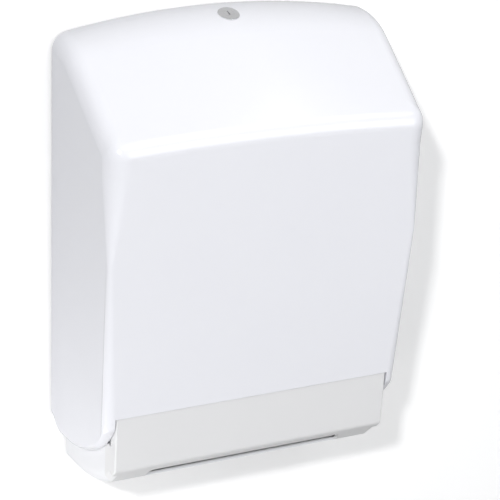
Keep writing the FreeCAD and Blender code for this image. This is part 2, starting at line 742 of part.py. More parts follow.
def plate_outline(inset):
    """Outline of the wall plate, moved in by the inset: a narrow foot under a wide arched top."""
    wide = PLATE_WIDTH / 2 - inset
    narrow = PLATE_FOOT_WIDTH / 2 - inset
    low = PLATE_BOTTOM + inset
    step = PLATE_FOOT_HEIGHT + inset
    crown = OVERALL_HEIGHT - COVER_WALL - PLATE_TOP_GAP - inset
    radius = ROOF_ARCH_RADIUS - COVER_WALL - PLATE_TOP_GAP - inset
    eave = crown - radius + math.sqrt(radius**2 - wide**2)
    right = [at(narrow, 0, low), at(narrow, 0, step), at(wide, 0, step), at(wide, 0, eave)]
    left = [Vector(-p.x, p.y, p.z) for p in reversed(right)]
    return Part.Wire(lines(right) + [arc(right[-1], at(0, 0, crown), left[0])] + lines(left + right[:1]))


def plate_body(inset, low, high):
    """Wall plate outline as a slab between two depths, with rounded upper corners."""
    body = Part.Face(plate_outline(inset)).extrude(Vector(0, low - high, 0))
    body.translate(Vector(0, -low, 0))
    corners = []
    for edge in body.Edges:
        x, d, h = span(edge)
        if d[1] - d[0] > 1 and h[0] > PLATE_FOOT_HEIGHT + PLATE_CORNER_RADIUS:
            corners.append(edge)
    return body.makeFillet(PLATE_CORNER_RADIUS - inset, corners)


def wall_screw_places():
    """X and H of the wall screws."""
    offsets = [(x, h) for x in (-0.5, 0.5) for h in (-0.5, 0.5)]
    return [(WALL_SCREW_SPACING_X * x, WALL_SCREW_CENTRE + WALL_SCREW_SPACING_H * h) for x, h in offsets]


def back_plate():
    """Wall plate with a rim round its upper part, pads at the wall screws and holes."""
    plate = plate_body(0.0, 0.0, PLATE_THICKNESS)
    rim = plate_body(0.0, 0.0, RIM_DEPTH).cut(plate_body(RIM_WALL, BELOW, FAR))
    rim = rim.cut(block((-FAR, FAR), (BELOW, FAR), (BELOW, PLATE_FOOT_HEIGHT)))
    plate = plate.fuse(rim)
    for x, h in wall_screw_places():
        plate = plate.fuse(rod_d(x, (0, PLATE_THICKNESS + WALL_PAD_HEIGHT), h, WALL_PAD_RADIUS))
    holes = [rod_d(x, (BELOW, FAR), h, WALL_SCREW_HOLE_RADIUS) for x, h in wall_screw_places()]
    places = tray_screw_places() + guide_screw_places() + keeper_screw_places()
    holes += [rod_d(x, (BELOW, FAR), h, SCREW_RADIUS + SCREW_FIT) for x, h in places]
    places = [(x, BUFFER_HEIGHT) for x in (-BUFFER_X, BUFFER_X)]
    holes += [rod_d(x, (BELOW, FAR), h, SCREW_RADIUS + SCREW_FIT) for x, h in places]
    return plate.cut(holes)


# Towel guides


def towel_guide():
    """Right-hand guide: a web that keeps the stack centred and a flange on the wall plate."""
    inner = STACK_WIDTH / 2
    h = (GUIDE_BOTTOM + JOINT_GAP, GUIDE_TOP)
    web = block((inner, inner + GUIDE_THICKNESS), (PLATE_THICKNESS, PLATE_THICKNESS + GUIDE_REACH), h)
    corners = []
    for edge in web.Edges:
        x, d, eh = span(edge)
        if d[0] > GUIDE_REACH and x[1] - x[0] > 1:
            corners.append(edge)
    web = web.makeFillet(GUIDE_CORNER_RADIUS, corners)
    flange = block((inner, inner + GUIDE_FLANGE), (PLATE_THICKNESS, PLATE_THICKNESS + GUIDE_THICKNESS), h)
    guide = web.fuse(flange)
    for x, eh in guide_screw_places():
        guide = guide.cut(rod_d(x, (0, FAR), eh, SCREW_RADIUS + SCREW_FIT))
    return guide


def guide_screw_places():
    """X and H of the screws through the guides' flanges."""
    x = STACK_WIDTH / 2 + GUIDE_THICKNESS + (GUIDE_FLANGE - GUIDE_THICKNESS) / 2
    heights = (GUIDE_BOTTOM + GUIDE_SCREW_INSET, GUIDE_TOP - GUIDE_SCREW_INSET)
    return [(side * x, h) for side in (-1, 1) for h in heights]


def guide_screws():
    """Screws that hold the guides to the wall plate."""
    face = PLATE_THICKNESS + GUIDE_THICKNESS
    return Part.makeCompound([screw(x, face, h, face - SCREW_POCKET) for x, h in guide_screw_places()])


# Lock


def lock_tilt():
    """Angle between the lock's axis and the upright: square to the bent roof at the lock."""
    slope = math.atan((OVERALL_HEIGHT - SHOULDER_HEIGHT) / (SHOULDER_DEPTH - BEND_DEPTH))
    start = BEND_DEPTH - BEND_RADIUS * math.tan(slope / 2)
    return math.asin((LOCK_DEPTH - start) / BEND_RADIUS)


def lock_height():
    """Height of the roof's surface at the lock."""
    return OVERALL_HEIGHT - BEND_RADIUS * (1 - math.cos(lock_tilt()))


def on_lock(shape):
    """Move a piece built on the upright axis to the lock, square to the roof."""
    placed = shape.copy()
    placed.rotate(Vector(0, 0, 0), Vector(1, 0, 0), math.degrees(lock_tilt()))
    placed.translate(at(0, LOCK_DEPTH, lock_height()))
    return placed


def disc(radius, low, high):
    """Cylinder on the lock's own axis between two heights."""
    return Part.makeCylinder(radius, high - low, Vector(0, 0, low))


def lock_barrel():
    """Barrel of the lock with its ring on the roof."""
    top = LOCK_RING_HEIGHT - LOCK_RECESS
    body = disc(LOCK_RING_RADIUS, -LOCK_RECESS, top).fuse(disc(LOCK_BARREL_RADIUS, -LOCK_BARREL_LENGTH, 0))
    rim = [edge for edge in body.Edges if edge.BoundBox.ZMin > top - 0.01]
    body = body.makeChamfer(LOCK_RING_HEIGHT / 4, rim)
    return on_lock(body.cut(disc(LOCK_CORE_RADIUS + RUNNING_CLEARANCE, -FAR, FAR)))


def lock_core():
    """Turning core of the lock with its keyway and the square stub that carries the cam."""
    top = LOCK_RING_HEIGHT - LOCK_RECESS
    core = disc(LOCK_CORE_RADIUS, -LOCK_BARREL_LENGTH - SEAT_GAP, top)
    stub = Part.makeBox(STUB_WIDTH, STUB_WIDTH, CAM_THICKNESS,
                        Vector(-STUB_WIDTH / 2, -STUB_WIDTH / 2, cam_bottom()))
    keyway = Part.makeBox(KEYWAY_WIDTH, KEYWAY_LENGTH, KEYWAY_DEPTH,
                          Vector(-KEYWAY_WIDTH / 2, -KEYWAY_LENGTH / 2, top - KEYWAY_DEPTH))
    bore = disc(CAM_SCREW_RADIUS, cam_bottom(), cam_bottom() + CAM_SCREW_LENGTH)
    return on_lock(core.fuse(stub).cut([keyway, bore]))


def cam_bottom():
    """Height of the cam's underside on the lock's own axis."""
    return -LOCK_BARREL_LENGTH - SEAT_GAP - CAM_THICKNESS


def lock_cam():
    """Cam on the core; at rest it points at the wall and leaves the keeper free."""
    low, high = cam_bottom(), cam_bottom() + CAM_THICKNESS
    arm = Part.makeBox(CAM_WIDTH, CAM_REACH - CAM_WIDTH / 2, CAM_THICKNESS, Vector(-CAM_WIDTH / 2, 0, low))
    tip = disc(CAM_WIDTH / 2, low, high)
    tip.translate(Vector(0, CAM_REACH - CAM_WIDTH / 2, 0))
    hub = disc(CAM_WIDTH / 2, low, high)
    hole = Part.makeBox(STUB_WIDTH, STUB_WIDTH, CAM_THICKNESS, Vector(-STUB_WIDTH / 2, -STUB_WIDTH / 2, low))
    return on_lock(hub.fuse([arm, tip]).cut(hole))


def cam_screw():
    """Screw that holds the cam on the core."""
    head = disc(CAM_SCREW_HEAD_RADIUS, cam_bottom() - CAM_SCREW_HEAD, cam_bottom())
    shank = disc(CAM_SCREW_RADIUS, cam_bottom(), cam_bottom() + CAM_SCREW_LENGTH - SCREW_POCKET)
    return on_lock(head.fuse(shank))


def lock_washer():
    """Washer between the nut and the cover's inner seat."""
    low = -LOCK_SEAT_DEPTH - WASHER_THICKNESS
    ring = disc(WASHER_RADIUS, low, -LOCK_SEAT_DEPTH)
    return on_lock(ring.cut(disc(LOCK_BARREL_RADIUS + RUNNING_CLEARANCE, low, 0)))


def lock_nut():
    """Hexagonal nut that holds the barrel in the roof."""
    high = -LOCK_SEAT_DEPTH - WASHER_THICKNESS
    low = high - NUT_HEIGHT
    reach = NUT_FLATS / math.sqrt(3)
    turns = [math.pi / 3 * i for i in range(6)]
    corners = [Vector(reach * math.cos(turn), reach * math.sin(turn), low) for turn in turns]
    body = Part.Face(Part.Wire(lines(corners + corners[:1]))).extrude(Vector(0, 0, NUT_HEIGHT))
    return on_lock(body.cut(disc(LOCK_BARREL_RADIUS + RUNNING_CLEARANCE, low, high)))


# Keeper


def lock_point(forward, up):
    """D and H of a point given in front of and above the lock's origin, along its own axis."""
    tilt = lock_tilt()
    d = LOCK_DEPTH + forward * math.cos(tilt) + up * math.sin(tilt)
    h = lock_height() - forward * math.sin(tilt) + up * math.cos(tilt)
    return d, h


def latch_keeper():
    """Bent strip on the wall plate; its upstand bars the cam from coming forward once it is turned."""
    near = CAM_WIDTH / 2 + KEEPER_GAP
    shelf_top = cam_bottom() - CAM_SCREW_HEAD - KEEPER_GAP
    shelf_low = shelf_top - KEEPER_THICKNESS
    upstand_top = cam_bottom() + CAM_THICKNESS + KEEPER_OVERLAP / 2
    back_top = lock_point(-FAR, shelf_top)
    back_low = lock_point(-FAR, shelf_low)
    front = [
        lock_point(near, shelf_top),
        lock_point(near, upstand_top),
        lock_point(near + KEEPER_THICKNESS, upstand_top),
        lock_point(near + KEEPER_THICKNESS, shelf_low),
    ]
    width = KEEPER_WIDTH
    strip = side_prism([back_top] + front + [back_low], width / 2)
    strip = strip.common(block((-width, width), (PLATE_THICKNESS, FAR), (BELOW, ABOVE)))
    top = keeper_shelf_height()
    foot = block((-width / 2, width / 2), (PLATE_THICKNESS, PLATE_THICKNESS + KEEPER_THICKNESS),
                 (top - KEEPER_FOOT, top))
    keeper = strip.fuse(foot)
    keeper.translate(Vector(keeper_x(), 0, 0))
    through = (0, 2 * PLATE_THICKNESS + KEEPER_THICKNESS)
    holes = [rod_d(x, through, h, SCREW_RADIUS + SCREW_FIT) for x, h in keeper_screw_places()]
    return keeper.cut(holes)


def keeper_x():
    """X of the middle of the keeper."""
    return KEEPER_NEAR_X + KEEPER_WIDTH / 2


def keeper_shelf_height():
    """Height of the keeper's shelf where it leaves the wall plate."""
    shelf = cam_bottom() - CAM_SCREW_HEAD - KEEPER_GAP - KEEPER_THICKNESS / 2
    d, h = lock_point(0, shelf)
    return h + (d - PLATE_THICKNESS) * math.tan(lock_tilt())


def keeper_screw_places():
    """X and H of the keeper's screws."""
    top = keeper_shelf_height()
    return [(keeper_x(), top - KEEPER_FOOT * share) for share in (0.4, 0.8)]


def keeper_screws():
    """Screws that hold the keeper to the wall plate."""
    face = PLATE_THICKNESS + KEEPER_THICKNESS
    return Part.makeCompound([screw(x, face, h, face - SCREW_POCKET) for x, h in keeper_screw_places()])


# Buffers


def cover_buffer():
    """Right-hand rubber buffer with a stem that plugs into the wall plate."""
    body = rod_d(BUFFER_X, (PLATE_THICKNESS, buffer_tip()), BUFFER_HEIGHT, BUFFER_RADIUS)
    tip = [edge for edge in body.Edges if abs(edge.BoundBox.YMin + buffer_tip()) < 0.01
           and edge.BoundBox.YLength < 0.01]
    body = body.makeFillet(BUFFER_RADIUS / 4, tip)
    return body.fuse(rod_d(BUFFER_X, (SCREW_POCKET, PLATE_THICKNESS), BUFFER_HEIGHT, SCREW_RADIUS))


def pieces():
    """Every piece of the dispenser by name."""
    return {
        "back_plate": back_plate(),
        "front_cover": front_cover(),
        "towel_tray": towel_tray(),
        "outlet_panel": outlet_panel(),
        "towel_guide_right": towel_guide(),
        "towel_guide_left": mirrored(towel_guide()),
        "guide_screws": guide_screws(),
        "tray_screws": tray_screws(),
        "panel_screws": panel_screws(),
        "hinge_bush_right": hinge_bush(),
        "hinge_bush_left": mirrored(hinge_bush()),
        "hinge_pin_right": hinge_pin(),
        "hinge_pin_left": mirrored(hinge_pin()),
        "lock_barrel": lock_barrel(),
        "lock_core": lock_core(),
        "lock_washer": lock_washer(),
        "lock_nut": lock_nut(),
        "lock_cam": lock_cam(),
        "cam_screw": cam_screw(),
        "latch_keeper": latch_keeper(),
        "keeper_screws": keeper_screws(),
        "cover_buffer_right": cover_buffer(),
        "cover_buffer_left": mirrored(cover_buffer()),
    }


def main():
    """Write one file per piece."""
    os.makedirs("parts", exist_ok=True)
    for name, shape in pieces().items():
        shape.exportStep(f"parts/{name}.step")


main()
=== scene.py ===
"""Dresses the wall dispenser for paper towels: finishes, fittings, lamps, wall and camera."""

import logging
import math
from dataclasses import dataclass, field
from enum import Enum
from typing import Callable

import bpy
from mathutils import Matrix, Vector

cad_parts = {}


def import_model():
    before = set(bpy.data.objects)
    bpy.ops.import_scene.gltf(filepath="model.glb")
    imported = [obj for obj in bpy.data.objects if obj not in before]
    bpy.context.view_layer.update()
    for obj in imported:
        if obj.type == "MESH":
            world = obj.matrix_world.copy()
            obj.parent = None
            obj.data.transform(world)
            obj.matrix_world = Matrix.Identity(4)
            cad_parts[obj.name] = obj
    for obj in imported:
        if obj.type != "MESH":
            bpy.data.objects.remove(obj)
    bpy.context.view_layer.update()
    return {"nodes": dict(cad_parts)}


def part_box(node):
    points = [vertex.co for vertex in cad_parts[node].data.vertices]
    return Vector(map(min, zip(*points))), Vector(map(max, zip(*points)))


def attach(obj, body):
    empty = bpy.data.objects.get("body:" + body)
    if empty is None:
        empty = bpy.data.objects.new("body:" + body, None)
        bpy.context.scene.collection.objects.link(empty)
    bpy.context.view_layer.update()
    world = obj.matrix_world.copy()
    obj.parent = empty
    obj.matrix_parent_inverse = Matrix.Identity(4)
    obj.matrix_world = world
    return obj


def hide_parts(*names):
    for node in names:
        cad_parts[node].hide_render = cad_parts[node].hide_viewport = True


LOG = logging.getLogger("towel_dispenser")
MM = 0.001
LOOKS_THAT_WAY = 0.9  # least cosine between a picked face's normal and the wanted way
AT_THE_CREST = 0.99  # share of a height past which an edge is at its top
Colour = tuple[float, float, float]
Point = tuple[float, float, float]
Piece = bpy.types.Object
Look = bpy.types.Material
Tree = bpy.types.NodeTree
Node = bpy.types.Node
Socket = bpy.types.NodeSocket


class Body(Enum):
    """Rigid bodies of the dispenser that a piece can ride on."""

    HOUSING = "housing"
    COVER = "cover"
    LOCK = "lock"


class Grain(Enum):
    """Texture that a mould or tool leaves: the share of slow waves in it, and its scale along Z."""

    POLISHED = (0.75, 1.0)
    SPARKED = (0.4, 1.0)
    DRAWN = (0.0, 0.06)

    @property
    def wave_share(self) -> float:
        """Share of slow waves in the relief; the rest is fine grain."""
        return self.value[0]

    @property
    def run(self) -> float:
        """Scale of the pattern along Z; a small one draws it out in lines."""
        return self.value[1]


# Modelling


class Bench:
    """Modelling moves shared by every new piece."""

    @staticmethod
    def clear() -> None:
        """Deselect everything, so that an operator acts on one piece only."""
        if bpy.context.object and bpy.context.object.mode != "OBJECT":
            bpy.ops.object.mode_set(mode="OBJECT")
        bpy.ops.object.select_all(action="DESELECT")

    @staticmethod
    def take(piece: Piece) -> None:
        """Select one piece and make it active.

        Args:
            piece: The object to work on.
        """
        Bench.clear()
        piece.select_set(True)
        bpy.context.view_layer.objects.active = piece

    @staticmethod
    def start(name: str) -> Piece:
        """Name the primitive that was just added and return it.

        Args:
            name: Name of the new piece.

        Returns:
            The new object.
        """
        piece = bpy.context.object
        piece.name = name
        piece.data.name = name
        return piece

    @staticmethod
    def cylinder(name: str, radius: float, low: float, high: float, sides: int = 48) -> Piece:
        """Add a cylinder along Z between two heights, in millimetres.

        Args:
            name: Name of the piece.
            radius: Radius in millimetres.
            low: Lower end on Z.
            high: Upper end on Z.
            sides: Number of sides.

        Returns:
            The new object.
        """
        Bench.clear()
        middle = (0.0, 0.0, (low + high) / 2 * MM)
        bpy.ops.mesh.primitive_cylinder_add(
            vertices=sides, radius=radius * MM, depth=(high - low) * MM, location=middle
        )
        return Bench.settle(Bench.start(name))

    @staticmethod
    def box(name: str, low: Point, high: Point) -> Piece:
        """Add a box between two corners, in millimetres.

        Args:
            name: Name of the piece.
            low: Lowest corner.
            high: Highest corner.

        Returns:
            The new object.
        """
        Bench.clear()
        middle = [(a + b) / 2 * MM for a, b in zip(low, high)]
        size = [(b - a) * MM for a, b in zip(low, high)]
        bpy.ops.mesh.primitive_cube_add(size=1.0, location=middle, scale=size)
        return Bench.settle(Bench.start(name))

    @staticmethod
    def settle(piece: Piece) -> Piece:
        """Put the piece's place, turn and scale into its mesh.

        Args:
            piece: The object to settle.

        Returns:
            The same object, now at the origin.
        """
        Bench.take(piece)
        bpy.ops.object.transform_apply(location=True, rotation=True, scale=True)
        return piece

    @staticmethod
    def unpick(piece: Piece, kind: str) -> None:
        """Deselect all of a piece's mesh, ready to pick its edges or faces.

        Args:
            piece: The object to edit.
            kind: "EDGE" or "FACE".
        """
        Bench.take(piece)
        bpy.ops.object.mode_set(mode="EDIT")
        bpy.ops.mesh.select_mode(type=kind)
        bpy.ops.mesh.select_all(action="DESELECT")
        bpy.ops.object.mode_set(mode="OBJECT")

    @staticmethod
    def pick_edges(piece: Piece, wanted: Callable[[Vector, Vector], bool]) -> None:
        """Enter edit mode with only the wanted edges selected.

        Args:
            piece: The object to edit.
            wanted: Tells from an edge's two ends whether it is picked.
        """
        Bench.unpick(piece, "EDGE")
        points = piece.data.vertices
        for edge in piece.data.edges:
            edge.select = wanted(points[edge.vertices[0]].co, points[edge.vertices[1]].co)
        bpy.ops.object.mode_set(mode="EDIT")

    @staticmethod
    def pick_faces(piece: Piece, way: Point) -> None:
        """Enter edit mode with only the faces that look one way selected.

        Args:
            piece: The object to edit.
            way: The direction, of length 1.
        """
        Bench.unpick(piece, "FACE")
        for face in piece.data.polygons:
            face.select = face.normal.dot(Vector(way)) > LOOKS_THAT_WAY
        bpy.ops.object.mode_set(mode="EDIT")

    @staticmethod
    def round_edges(
        piece: Piece,
        wanted: Callable[[Vector, Vector], bool],
        width: float,
        steps: int = 3,
    ) -> Piece:
        """Bevel the wanted edges.

        Args:
            piece: The object to edit.
            wanted: Tells from an edge's two ends whether it is rounded.
            width: Width of the bevel in millimetres.
            steps: Number of segments.

        Returns:
            The same object.
        """
        Bench.pick_edges(piece, wanted)
        bpy.ops.mesh.bevel(offset=width * MM, segments=steps, profile=0.5, affect="EDGES")
        bpy.ops.object.mode_set(mode="OBJECT")
        return piece

    @staticmethod
    def cut(piece: Piece, cutter: Piece) -> Piece:
        """Cut one solid from another with an applied modifier, and drop the cutter.

        Args:
            piece: The solid that is cut.
            cutter: The solid that is taken away.

        Returns:
            The cut object.
        """
        Bench.take(piece)
        change = piece.modifiers.new("cut", "BOOLEAN")
        change.operation = "DIFFERENCE"
        change.solver = "EXACT"
        change.object = cutter
        bpy.ops.object.modifier_apply(modifier=change.name)
        bpy.data.objects.remove(cutter)
        return piece

    @staticmethod
    def soften(piece: Piece, width: float, steps: int = 2, angle: float = 35.0) -> Piece:
        """Round every sharp edge with an applied bevel modifier.

        Args:
            piece: The object to finish.
            width: Width of the bevel in millimetres.
            steps: Number of segments.
            angle: Edges sharper than this are rounded, in degrees.

        Returns:
            The same object.
        """
        Bench.take(piece)
        change = piece.modifiers.new("soften", "BEVEL")
        change.width = width * MM
        change.segments = steps
        change.limit_method = "ANGLE"
        change.angle_limit = math.radians(angle)
        bpy.ops.object.modifier_apply(modifier=change.name)
        return piece

    @staticmethod
    def smooth(piece: Piece, angle: float = 40.0) -> Piece:
        """Shade smooth, with edges sharper than the angle left crisp.

        Args:
            piece: The object to shade.
            angle: Angle in degrees.

        Returns:
            The same object.
        """
        Bench.take(piece)
        bpy.ops.object.shade_smooth_by_angle(angle=math.radians(angle))
        return piece

    @staticmethod
    def copy(piece: Piece, move: Matrix) -> Piece:
        """Copy a piece with its own mesh and move the mesh.

        Args:
            piece: The object to copy.
            move: The move, in metres.

        Returns:
            The copy.
        """
        twin = piece.copy()
        twin.data = piece.data.copy()
        bpy.context.scene.collection.objects.link(twin)
        twin.data.transform(move)
        return twin

    @staticmethod
    def join(name: str, parts: list[Piece]) -> Piece:
        """Join several objects into one.

        Args:
            name: Name of the joined piece.
            parts: The objects; the first is kept.

        Returns:
            The joined object.
        """
        Bench.clear()
        for part in parts:
            part.select_set(True)
        bpy.context.view_layer.objects.active = parts[0]
        if len(parts) > 1:
            bpy.ops.object.join()
        return Bench.start(name)

    @staticmethod
    def row(name: str, first: Piece, spread: tuple[float, ...]) -> Piece:
        """Copy a piece to each place of a row along X, and join the copies.

        Args:
            name: Name of the joined piece.
            first: The piece in the middle, which is dropped.
            spread: The places, in millimetres.

        Returns:
            The joined row.
        """
        copies = [Bench.copy(first, Matrix.Translation((x * MM, 0, 0))) for x in spread]
        bpy.data.objects.remove(first)
        return Bench.smooth(Bench.join(name, copies))


# Shader trees


class Wiring:
    """Short moves on a shader tree, shared by the effects, the finishes and the studio."""

    @staticmethod
    def feed(tree: Tree, value: Socket | float | tuple[float, ...], socket: Socket) -> None:
        """Link a value to a socket, or set it there.

        Args:
            tree: The tree.
            value: An output, a plain number or a plain colour.
            socket: The input that takes it.
        """
        if isinstance(value, Socket):
            tree.links.new(value, socket)
        else:
            socket.default_value = value

    @staticmethod
    def reckon(
        tree: Tree, operation: str, *values: Socket | float, clamp: bool = False
    ) -> Socket:
        """Add one Math node.

        Args:
            tree: The tree.
            operation: Name of the operation.
            values: What it works on, in order.
            clamp: True to keep the result from 0 to 1.

        Returns:
            The result.
        """
        node = tree.nodes.new("ShaderNodeMath")
        node.operation = operation
        node.use_clamp = clamp
        for value, socket in zip(values, node.inputs):
            Wiring.feed(tree, value, socket)
        return node.outputs["Value"]

    @staticmethod
    def stretch(
        tree: Tree, value: Socket, taken: tuple[float, float], given: tuple[float, float]
    ) -> Socket:
        """Map one range of values to another.

        Args:
            tree: The tree.
            value: The value.
            taken: The range that comes in.
            given: The range that goes out.

        Returns:
            The mapped value, kept within the range that goes out.
        """
        node = tree.nodes.new("ShaderNodeMapRange")
        node.inputs["From Min"].default_value, node.inputs["From Max"].default_value = taken
        node.inputs["To Min"].default_value, node.inputs["To Max"].default_value = given
        tree.links.new(value, node.inputs["Value"])
        return node.outputs["Result"]

    @staticmethod
    def blend(tree: Tree, share: Socket, first: Socket | Colour, second: Colour) -> Socket:
        """Mix two colours.

        Args:
            tree: The tree.
            share: Share of the second colour.
            first: The first colour, plain or linked.
            second: The second colour.

        Returns:
            The mixed colour.
        """
        mix = tree.nodes.new("ShaderNodeMix")
        mix.data_type = "RGBA"
        start = first if isinstance(first, Socket) else (*first, 1.0)
        Wiring.feed(tree, start, mix.inputs["A"])
        mix.inputs["B"].default_value = (*second, 1.0)
        tree.links.new(share, mix.inputs["Factor"])
        return mix.outputs["Result"]

    @staticmethod
    def choose(tree: Tree, share: Socket, first: Socket, second: Socket) -> Socket:
        """Mix two shaders.

        Args:
            tree: The tree.
            share: Share of the second shader.
            first: The first shader.
            second: The second shader.

        Returns:
            The mixed shader.
        """
        mix = tree.nodes.new("ShaderNodeMixShader")
        for value, socket in zip((share, first, second), mix.inputs):
            tree.links.new(value, socket)
        return mix.outputs["Shader"]

    @staticmethod
    def noise(
        tree: Tree, place: Socket, scale: Socket | float, detail: float, rough: float = 0.5
    ) -> Socket:
        """Add a noise texture.

        Args:
            tree: The tree.
            place: The coordinates.
            scale: Scale of the noise.
            detail: Octaves of detail.
            rough: Roughness of the noise.

        Returns:
            The noise, from 0 to 1.
        """
        node = tree.nodes.new("ShaderNodeTexNoise")
        node.inputs["Detail"].default_value = detail
        node.inputs["Roughness"].default_value = rough
        tree.links.new(place, node.inputs["Vector"])
        Wiring.feed(tree, scale, node.inputs["Scale"])
        return node.outputs["Fac"]


class Effects:
    """Node groups that more than one finish uses, each built once."""

    FACING_UP = (0.55, 1.0)
    WHOLE = (0.0, 1.0)
    STREAK_SCALE = 160.0

    def __init__(self) -> None:
        """Start with no group built."""
        self.built: dict[str, Tree] = {}

    def group(
        self,
        name: str,
        takes: dict[str, float],
        gives: tuple[str, ...],
        build: Callable[[Tree, Node, Node], None],
    ) -> Tree:
        """Return a node group, building it the first time.

        Args:
            name: Name of the group.
            takes: Its inputs, each with its value at the start.
            gives: Its outputs.
            build: Fills the new group's tree between its input and output nodes.

        Returns:
            The node group.
        """
        if name not in self.built:
            tree = bpy.data.node_groups.new(name, "ShaderNodeTree")
            kind = "NodeSocketFloat"
            for label, start in takes.items():
                item = tree.interface.new_socket(name=label, in_out="INPUT", socket_type=kind)
                item.default_value = start
            for label in gives:
                tree.interface.new_socket(name=label, in_out="OUTPUT", socket_type=kind)
            build(tree, tree.nodes.new("NodeGroupInput"), tree.nodes.new("NodeGroupOutput"))
            self.built[name] = tree
        return self.built[name]

    @staticmethod
    def fill_skin(tree: Tree, inside: Node, outside: Node) -> None:
        """Fill the group of a moulding's skin.

        Args:
            tree: The group's tree.
            inside: Its input node.
            outside: Its output node.
        """
        place = tree.nodes.new("ShaderNodeTexCoord").outputs["Object"]
        fine, slow = inside.outputs["Grain Scale"], inside.outputs["Wave Scale"]
        grain = Wiring.noise(tree, place, fine, detail=3.0, rough=0.6)
        wave = Wiring.noise(tree, place, slow, detail=1.0)
        patch = Wiring.noise(tree, place, slow, detail=4.0, rough=0.65)
        mix = tree.nodes.new("ShaderNodeMix")
        mix.data_type = "FLOAT"
        tree.links.new(inside.outputs["Wave Share"], mix.inputs["Factor"])
        tree.links.new(grain, mix.inputs["A"])
        tree.links.new(wave, mix.inputs["B"])
        tree.links.new(mix.outputs["Result"], outside.inputs["Height"])
        tree.links.new(patch, outside.inputs["Patch"])

    @staticmethod
    def fill_dust(tree: Tree, inside: Node, outside: Node) -> None:
        """Fill the group of settled dust.

        Args:
            tree: The group's tree.
            inside: Its input node.
            outside: Its output node.
        """
        place = tree.nodes.new("ShaderNodeTexCoord")
        split = tree.nodes.new("ShaderNodeSeparateXYZ")
        tree.links.new(place.outputs["Normal"], split.inputs["Vector"])
        upward = Wiring.stretch(tree, split.outputs["Z"], Effects.FACING_UP, Effects.WHOLE)
        scale = inside.outputs["Patch Scale"]
        patch = Wiring.noise(tree, place.outputs["Object"], scale, detail=5.0, rough=0.7)
        broken = Wiring.reckon(tree, "MULTIPLY", upward, patch)
        mask = Wiring.reckon(tree, "MULTIPLY", broken, inside.outputs["Amount"], clamp=True)
        tree.links.new(mask, outside.inputs["Mask"])

    @staticmethod
    def fill_lines(tree: Tree, inside: Node, outside: Node) -> None:
        """Fill the group of a metal's lines.

        Args:
            tree: The group's tree.
            inside: Its input node.
            outside: Its output node.
        """
        place = tree.nodes.new("ShaderNodeTexCoord")
        run = tree.nodes.new("ShaderNodeCombineXYZ")
        run.inputs["X"].default_value = 1.0
        run.inputs["Y"].default_value = 1.0
        tree.links.new(inside.outputs["Run"], run.inputs["Z"])
        drawn = tree.nodes.new("ShaderNodeVectorMath")
        drawn.operation = "MULTIPLY"
        tree.links.new(place.outputs["Object"], drawn.inputs[0])
        tree.links.new(run.outputs["Vector"], drawn.inputs[1])
        along = drawn.outputs["Vector"]
        line = Wiring.noise(tree, along, inside.outputs["Line Scale"], detail=2.0)
        streak = Wiring.noise(tree, along, Effects.STREAK_SCALE, detail=6.0, rough=0.7)
        tree.links.new(line, outside.inputs["Height"])
        tree.links.new(streak, outside.inputs["Streak"])

    def moulded_skin(self) -> Tree:
        """Skin of a moulding: fine grain, slow waves of the mould and a patchy gloss.

        Returns:
            The node group.
        """
        takes = {"Grain Scale": 900.0, "Wave Scale": 14.0, "Wave Share": 0.5}
        return self.group("moulded_skin", takes, ("Height", "Patch"), self.fill_skin)

    def settled_dust(self) -> Tree:
        """Fine dust that settles on faces that look up, in soft patches.

        Returns:
            The node group.
        """
        takes = {"Amount": 0.3, "Patch Scale": 40.0}
        return self.group("settled_dust", takes, ("Mask",), self.fill_dust)

    def drawn_lines(self) -> Tree:
        """Fine parallel lines that drawing, turning or rolling leaves in metal.

        Returns:
            The node group.
        """
        takes = {"Line Scale": 600.0, "Run": 0.06}
        return self.group("drawn_lines", takes, ("Height", "Streak"), self.fill_lines)


# Finishes


@dataclass(frozen=True)
class Finish:
    """What every finish has: a name, a colour pair, a gloss range and a fine relief."""

    name: str
    colour: Colour
    shade: Colour
    gloss: float
    spread: float
    grain: Grain
    grain_scale: float
    relief: float
    patch_range: tuple[float, float] = (0.3, 0.7)

    def start(self) -> tuple[Look, Node]:
        """Make the empty material.

        Returns:
            The material and its main shader.
        """
        look = bpy.data.materials.new(self.name)
        look.use_nodes = True
        look.diffuse_color = (*self.colour, 1.0)
        return look, look.node_tree.nodes["Principled BSDF"]

    def make(self, effects: Effects) -> Look:
        """Build the material, which each kind of finish does in its own way.

        Args:
            effects: The shared node groups.

        Returns:
            The material.
        """
        raise NotImplementedError(self.name)

    @staticmethod
    def effect(tree: Tree, group: Tree, values: dict[str, float]) -> Node:
        """Place a shared effect in the material.

        Args:
            tree: The material's tree.
            group: The effect's node group.
            values: This finish's values for its inputs.

        Returns:
            The group's node.
        """
        node = tree.nodes.new("ShaderNodeGroup")
        node.node_tree = group
        for label, value in values.items():
            node.inputs[label].default_value = value
        return node

    def gloss_range(self, tree: Tree, mask: Socket) -> Socket:
        """Roughness that wanders about the finish's own value.

        Args:
            tree: The material's tree.
            mask: Value from 0 to 1.

        Returns:
            The roughness.
        """
        reach = (self.gloss - self.spread, self.gloss + self.spread)
        return Wiring.stretch(tree, mask, self.patch_range, reach)

    def raise_bump(self, tree: Tree, shader: Node, height: Socket) -> None:
        """Feed a height to the shader's normal.

        Args:
            tree: The material's tree.
            shader: The main shader.
            height: The height, from 0 to 1.
        """
        bump = tree.nodes.new("ShaderNodeBump")
        bump.inputs["Strength"].default_value = 1.0
        bump.inputs["Distance"].default_value = self.relief * MM
        tree.links.new(height, bump.inputs["Height"])
        tree.links.new(bump.outputs["Normal"], shader.inputs["Normal"])


